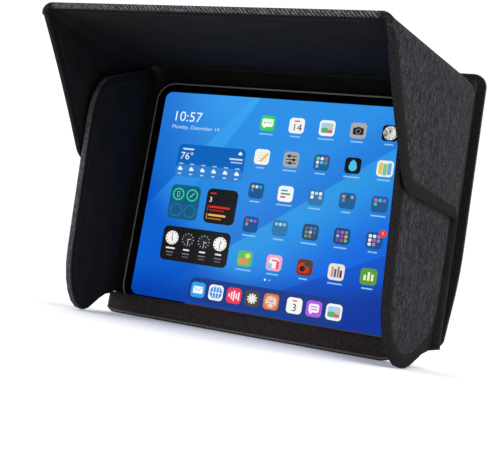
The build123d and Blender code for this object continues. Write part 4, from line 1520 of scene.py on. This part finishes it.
class HOOD_OT_home_screen(bpy.types.Operator):
    """Makes the lit picture on the tablet, with plain icons of no maker's own"""
    bl_idname = "hood.home_screen"
    bl_label = "Home Screen"

    def execute(self, context):
        half = np.array([SCREEN_WIDTH, SCREEN_HEIGHT]) / 2
        corners = [(-half[0], -half[1]), (half[0], -half[1]), (half[0], half[1]), (-half[0], half[1])]
        ring = outline_rings(corners, [SCREEN_CORNER] * 4, [[0.0]])[0]
        grow = np.array([0.02, 0.5, 1.0, 1.0, 0.5, 0.02])
        depth = np.array([0.0, 0.0, 0.0, 0.03, 0.03, 0.03])[:, None]
        rings = ring[None] * grow[:, None, None]
        points = np.stack(
            [
                rings[..., 0], GLASS_Y - SCREEN_LIFT + depth + 0 * rings[..., 0],
                SCREEN_MIDDLE + rings[..., 1]
            ],
            -1
        )
        picture = surface(
            "screen_picture", points, np.concatenate([rings, rings[:, :1]], 1) + half,
            finish_of("picture")
        )
        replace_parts(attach(picture, "tablet"), "tablet_display")
        marks_piece("screen_tiles", home_screen_tiles())
        marks_piece("screen_marks", icon_marks() + dock_marks() + widget_marks())
        b, f = ICON_COLUMNS[1], DOCK_X[5]
        lettering("screen_numbers", [
            ("10:57", 11.4, 27.8, 9.6, "e6f3fd"), ("Monday, December 14", 12.0, 35.2, 3.7, "c4e2f8"),
            ("76°", 26.2, 64.3, 6.8, "eaf4fd"),
            ("3", 63.0, 101.9, 4.8, "f2f2f2"), ("14", b - 4.2, ICON_ROWS[0] + 4.9, 6.6, "2a2a2c"),
            ("3", f - 2.1, DOCK_Y + 4.9, 6.6, "2a2a2c"),
        ])
        return {"FINISHED"}


# ---------------------------------------------------------------- stage
CAMERA_PLACE = (0.1999, -0.52985, 0.0245)
CAMERA_RIGHT = (0.9331, 0.3184, 0.1669)
CAMERA_UP = (-0.1255, -0.1463, 0.9812)
CAMERA_LENS = 55.33


def area_light(name, place, target, size, power, colour="ffffff"):
    """A soft square lamp that looks at a point."""
    light = bpy.data.lights.new(name, "AREA")
    light.size = size
    light.energy = power
    light.color = linear(colour)
    lamp = bpy.data.objects.new(name, light)
    lamp.location = place
    lamp.rotation_euler = (Vector(target) - Vector(place)).to_track_quat("-Z", "Y").to_euler()
    bpy.context.scene.collection.objects.link(lamp)
    return lamp


class HOOD_OT_stage(bpy.types.Operator):
    """Makes the pale floor, the soft light and the camera"""
    bl_idname = "hood.stage"
    bl_label = "Stage"

    def execute(self, context):
        scene = context.scene
        reach = np.array([0.0, 400.0, 1200.0, 3000.0, 5000.0, 5000.0, 0.0])
        turn = np.arange(48) / 48 * 2 * np.pi
        depth = np.array([-0.3, -0.3, -0.3, -0.3, -0.3, -20.3, -20.3])
        points = np.stack(
            [reach[:, None] * np.cos(turn), reach[:, None] * np.sin(turn), depth[:, None] + 0 * turn], -1
        )
        uv = np.concatenate([points, points[:, :1]], 1)[..., :2]
        floor = surface("floor", points[1:-1], uv[1:-1], floor_board())
        world = bpy.data.worlds.new("studio")
        world.use_nodes = True
        world.node_tree.nodes["Background"].inputs["Color"].default_value = (1.0, 1.0, 1.0, 1.0)
        world.node_tree.nodes["Background"].inputs["Strength"].default_value = 1.05
        scene.world = world
        area_light("key", (1.3, -1.5, 1.5), (0.05, 0.0, 0.12), 1.6, 22.0)
        area_light("fill", (-1.2, -1.6, 0.9), (0.0, 0.0, 0.12), 1.8, 12.0)
        camera = bpy.data.objects.new("camera", bpy.data.cameras.new("camera"))
        right, up = Vector(CAMERA_RIGHT), Vector(CAMERA_UP)
        turned = Matrix((right, up, right.cross(up))).transposed().to_4x4()
        camera.matrix_world = Matrix.Translation(CAMERA_PLACE) @ turned
        camera.data.lens = CAMERA_LENS
        camera.data.sensor_width = 36.0
        camera.data.clip_start = 0.01
        camera.data.clip_end = 50.0
        scene.collection.objects.link(camera)
        scene.camera = camera
        scene.view_settings.view_transform = "Standard"
        return {"FINISHED"}


OPERATORS = (
    HOOD_OT_stage, HOOD_OT_back_panel, HOOD_OT_visor, HOOD_OT_wings, HOOD_OT_flaps, HOOD_OT_folds,
    HOOD_OT_lip, HOOD_OT_patches, HOOD_OT_carried_over, HOOD_OT_home_screen,
)


class HOOD_PT_panel(bpy.types.Panel):
    bl_idname = "HOOD_PT_panel"
    bl_label = "Sun Hood"
    bl_space_type = "VIEW_3D"
    bl_region_type = "UI"
    bl_category = "Sun Hood"

    def draw(self, context):
        for group in (context.scene.hood_sizes, context.scene.hood_colours):
            for name in group.__annotations__:
                self.layout.prop(group, name)
        for operator in OPERATORS:
            self.layout.operator(operator.bl_idname)


CLASSES = (HoodSizes, HoodColours, *OPERATORS, HOOD_PT_panel)


def register():
    for item in CLASSES:
        bpy.utils.register_class(item)
    bpy.types.Scene.hood_sizes = PointerProperty(type=HoodSizes)
    bpy.types.Scene.hood_colours = PointerProperty(type=HoodColours)


def unregister():
    del bpy.types.Scene.hood_colours
    del bpy.types.Scene.hood_sizes
    for item in reversed(CLASSES):
        bpy.utils.unregister_class(item)


def main():
    register()
    for operator in OPERATORS:
        group, name = operator.bl_idname.split(".")
        getattr(getattr(bpy.ops, group), name)()


if __name__ == "__main__":
    main()
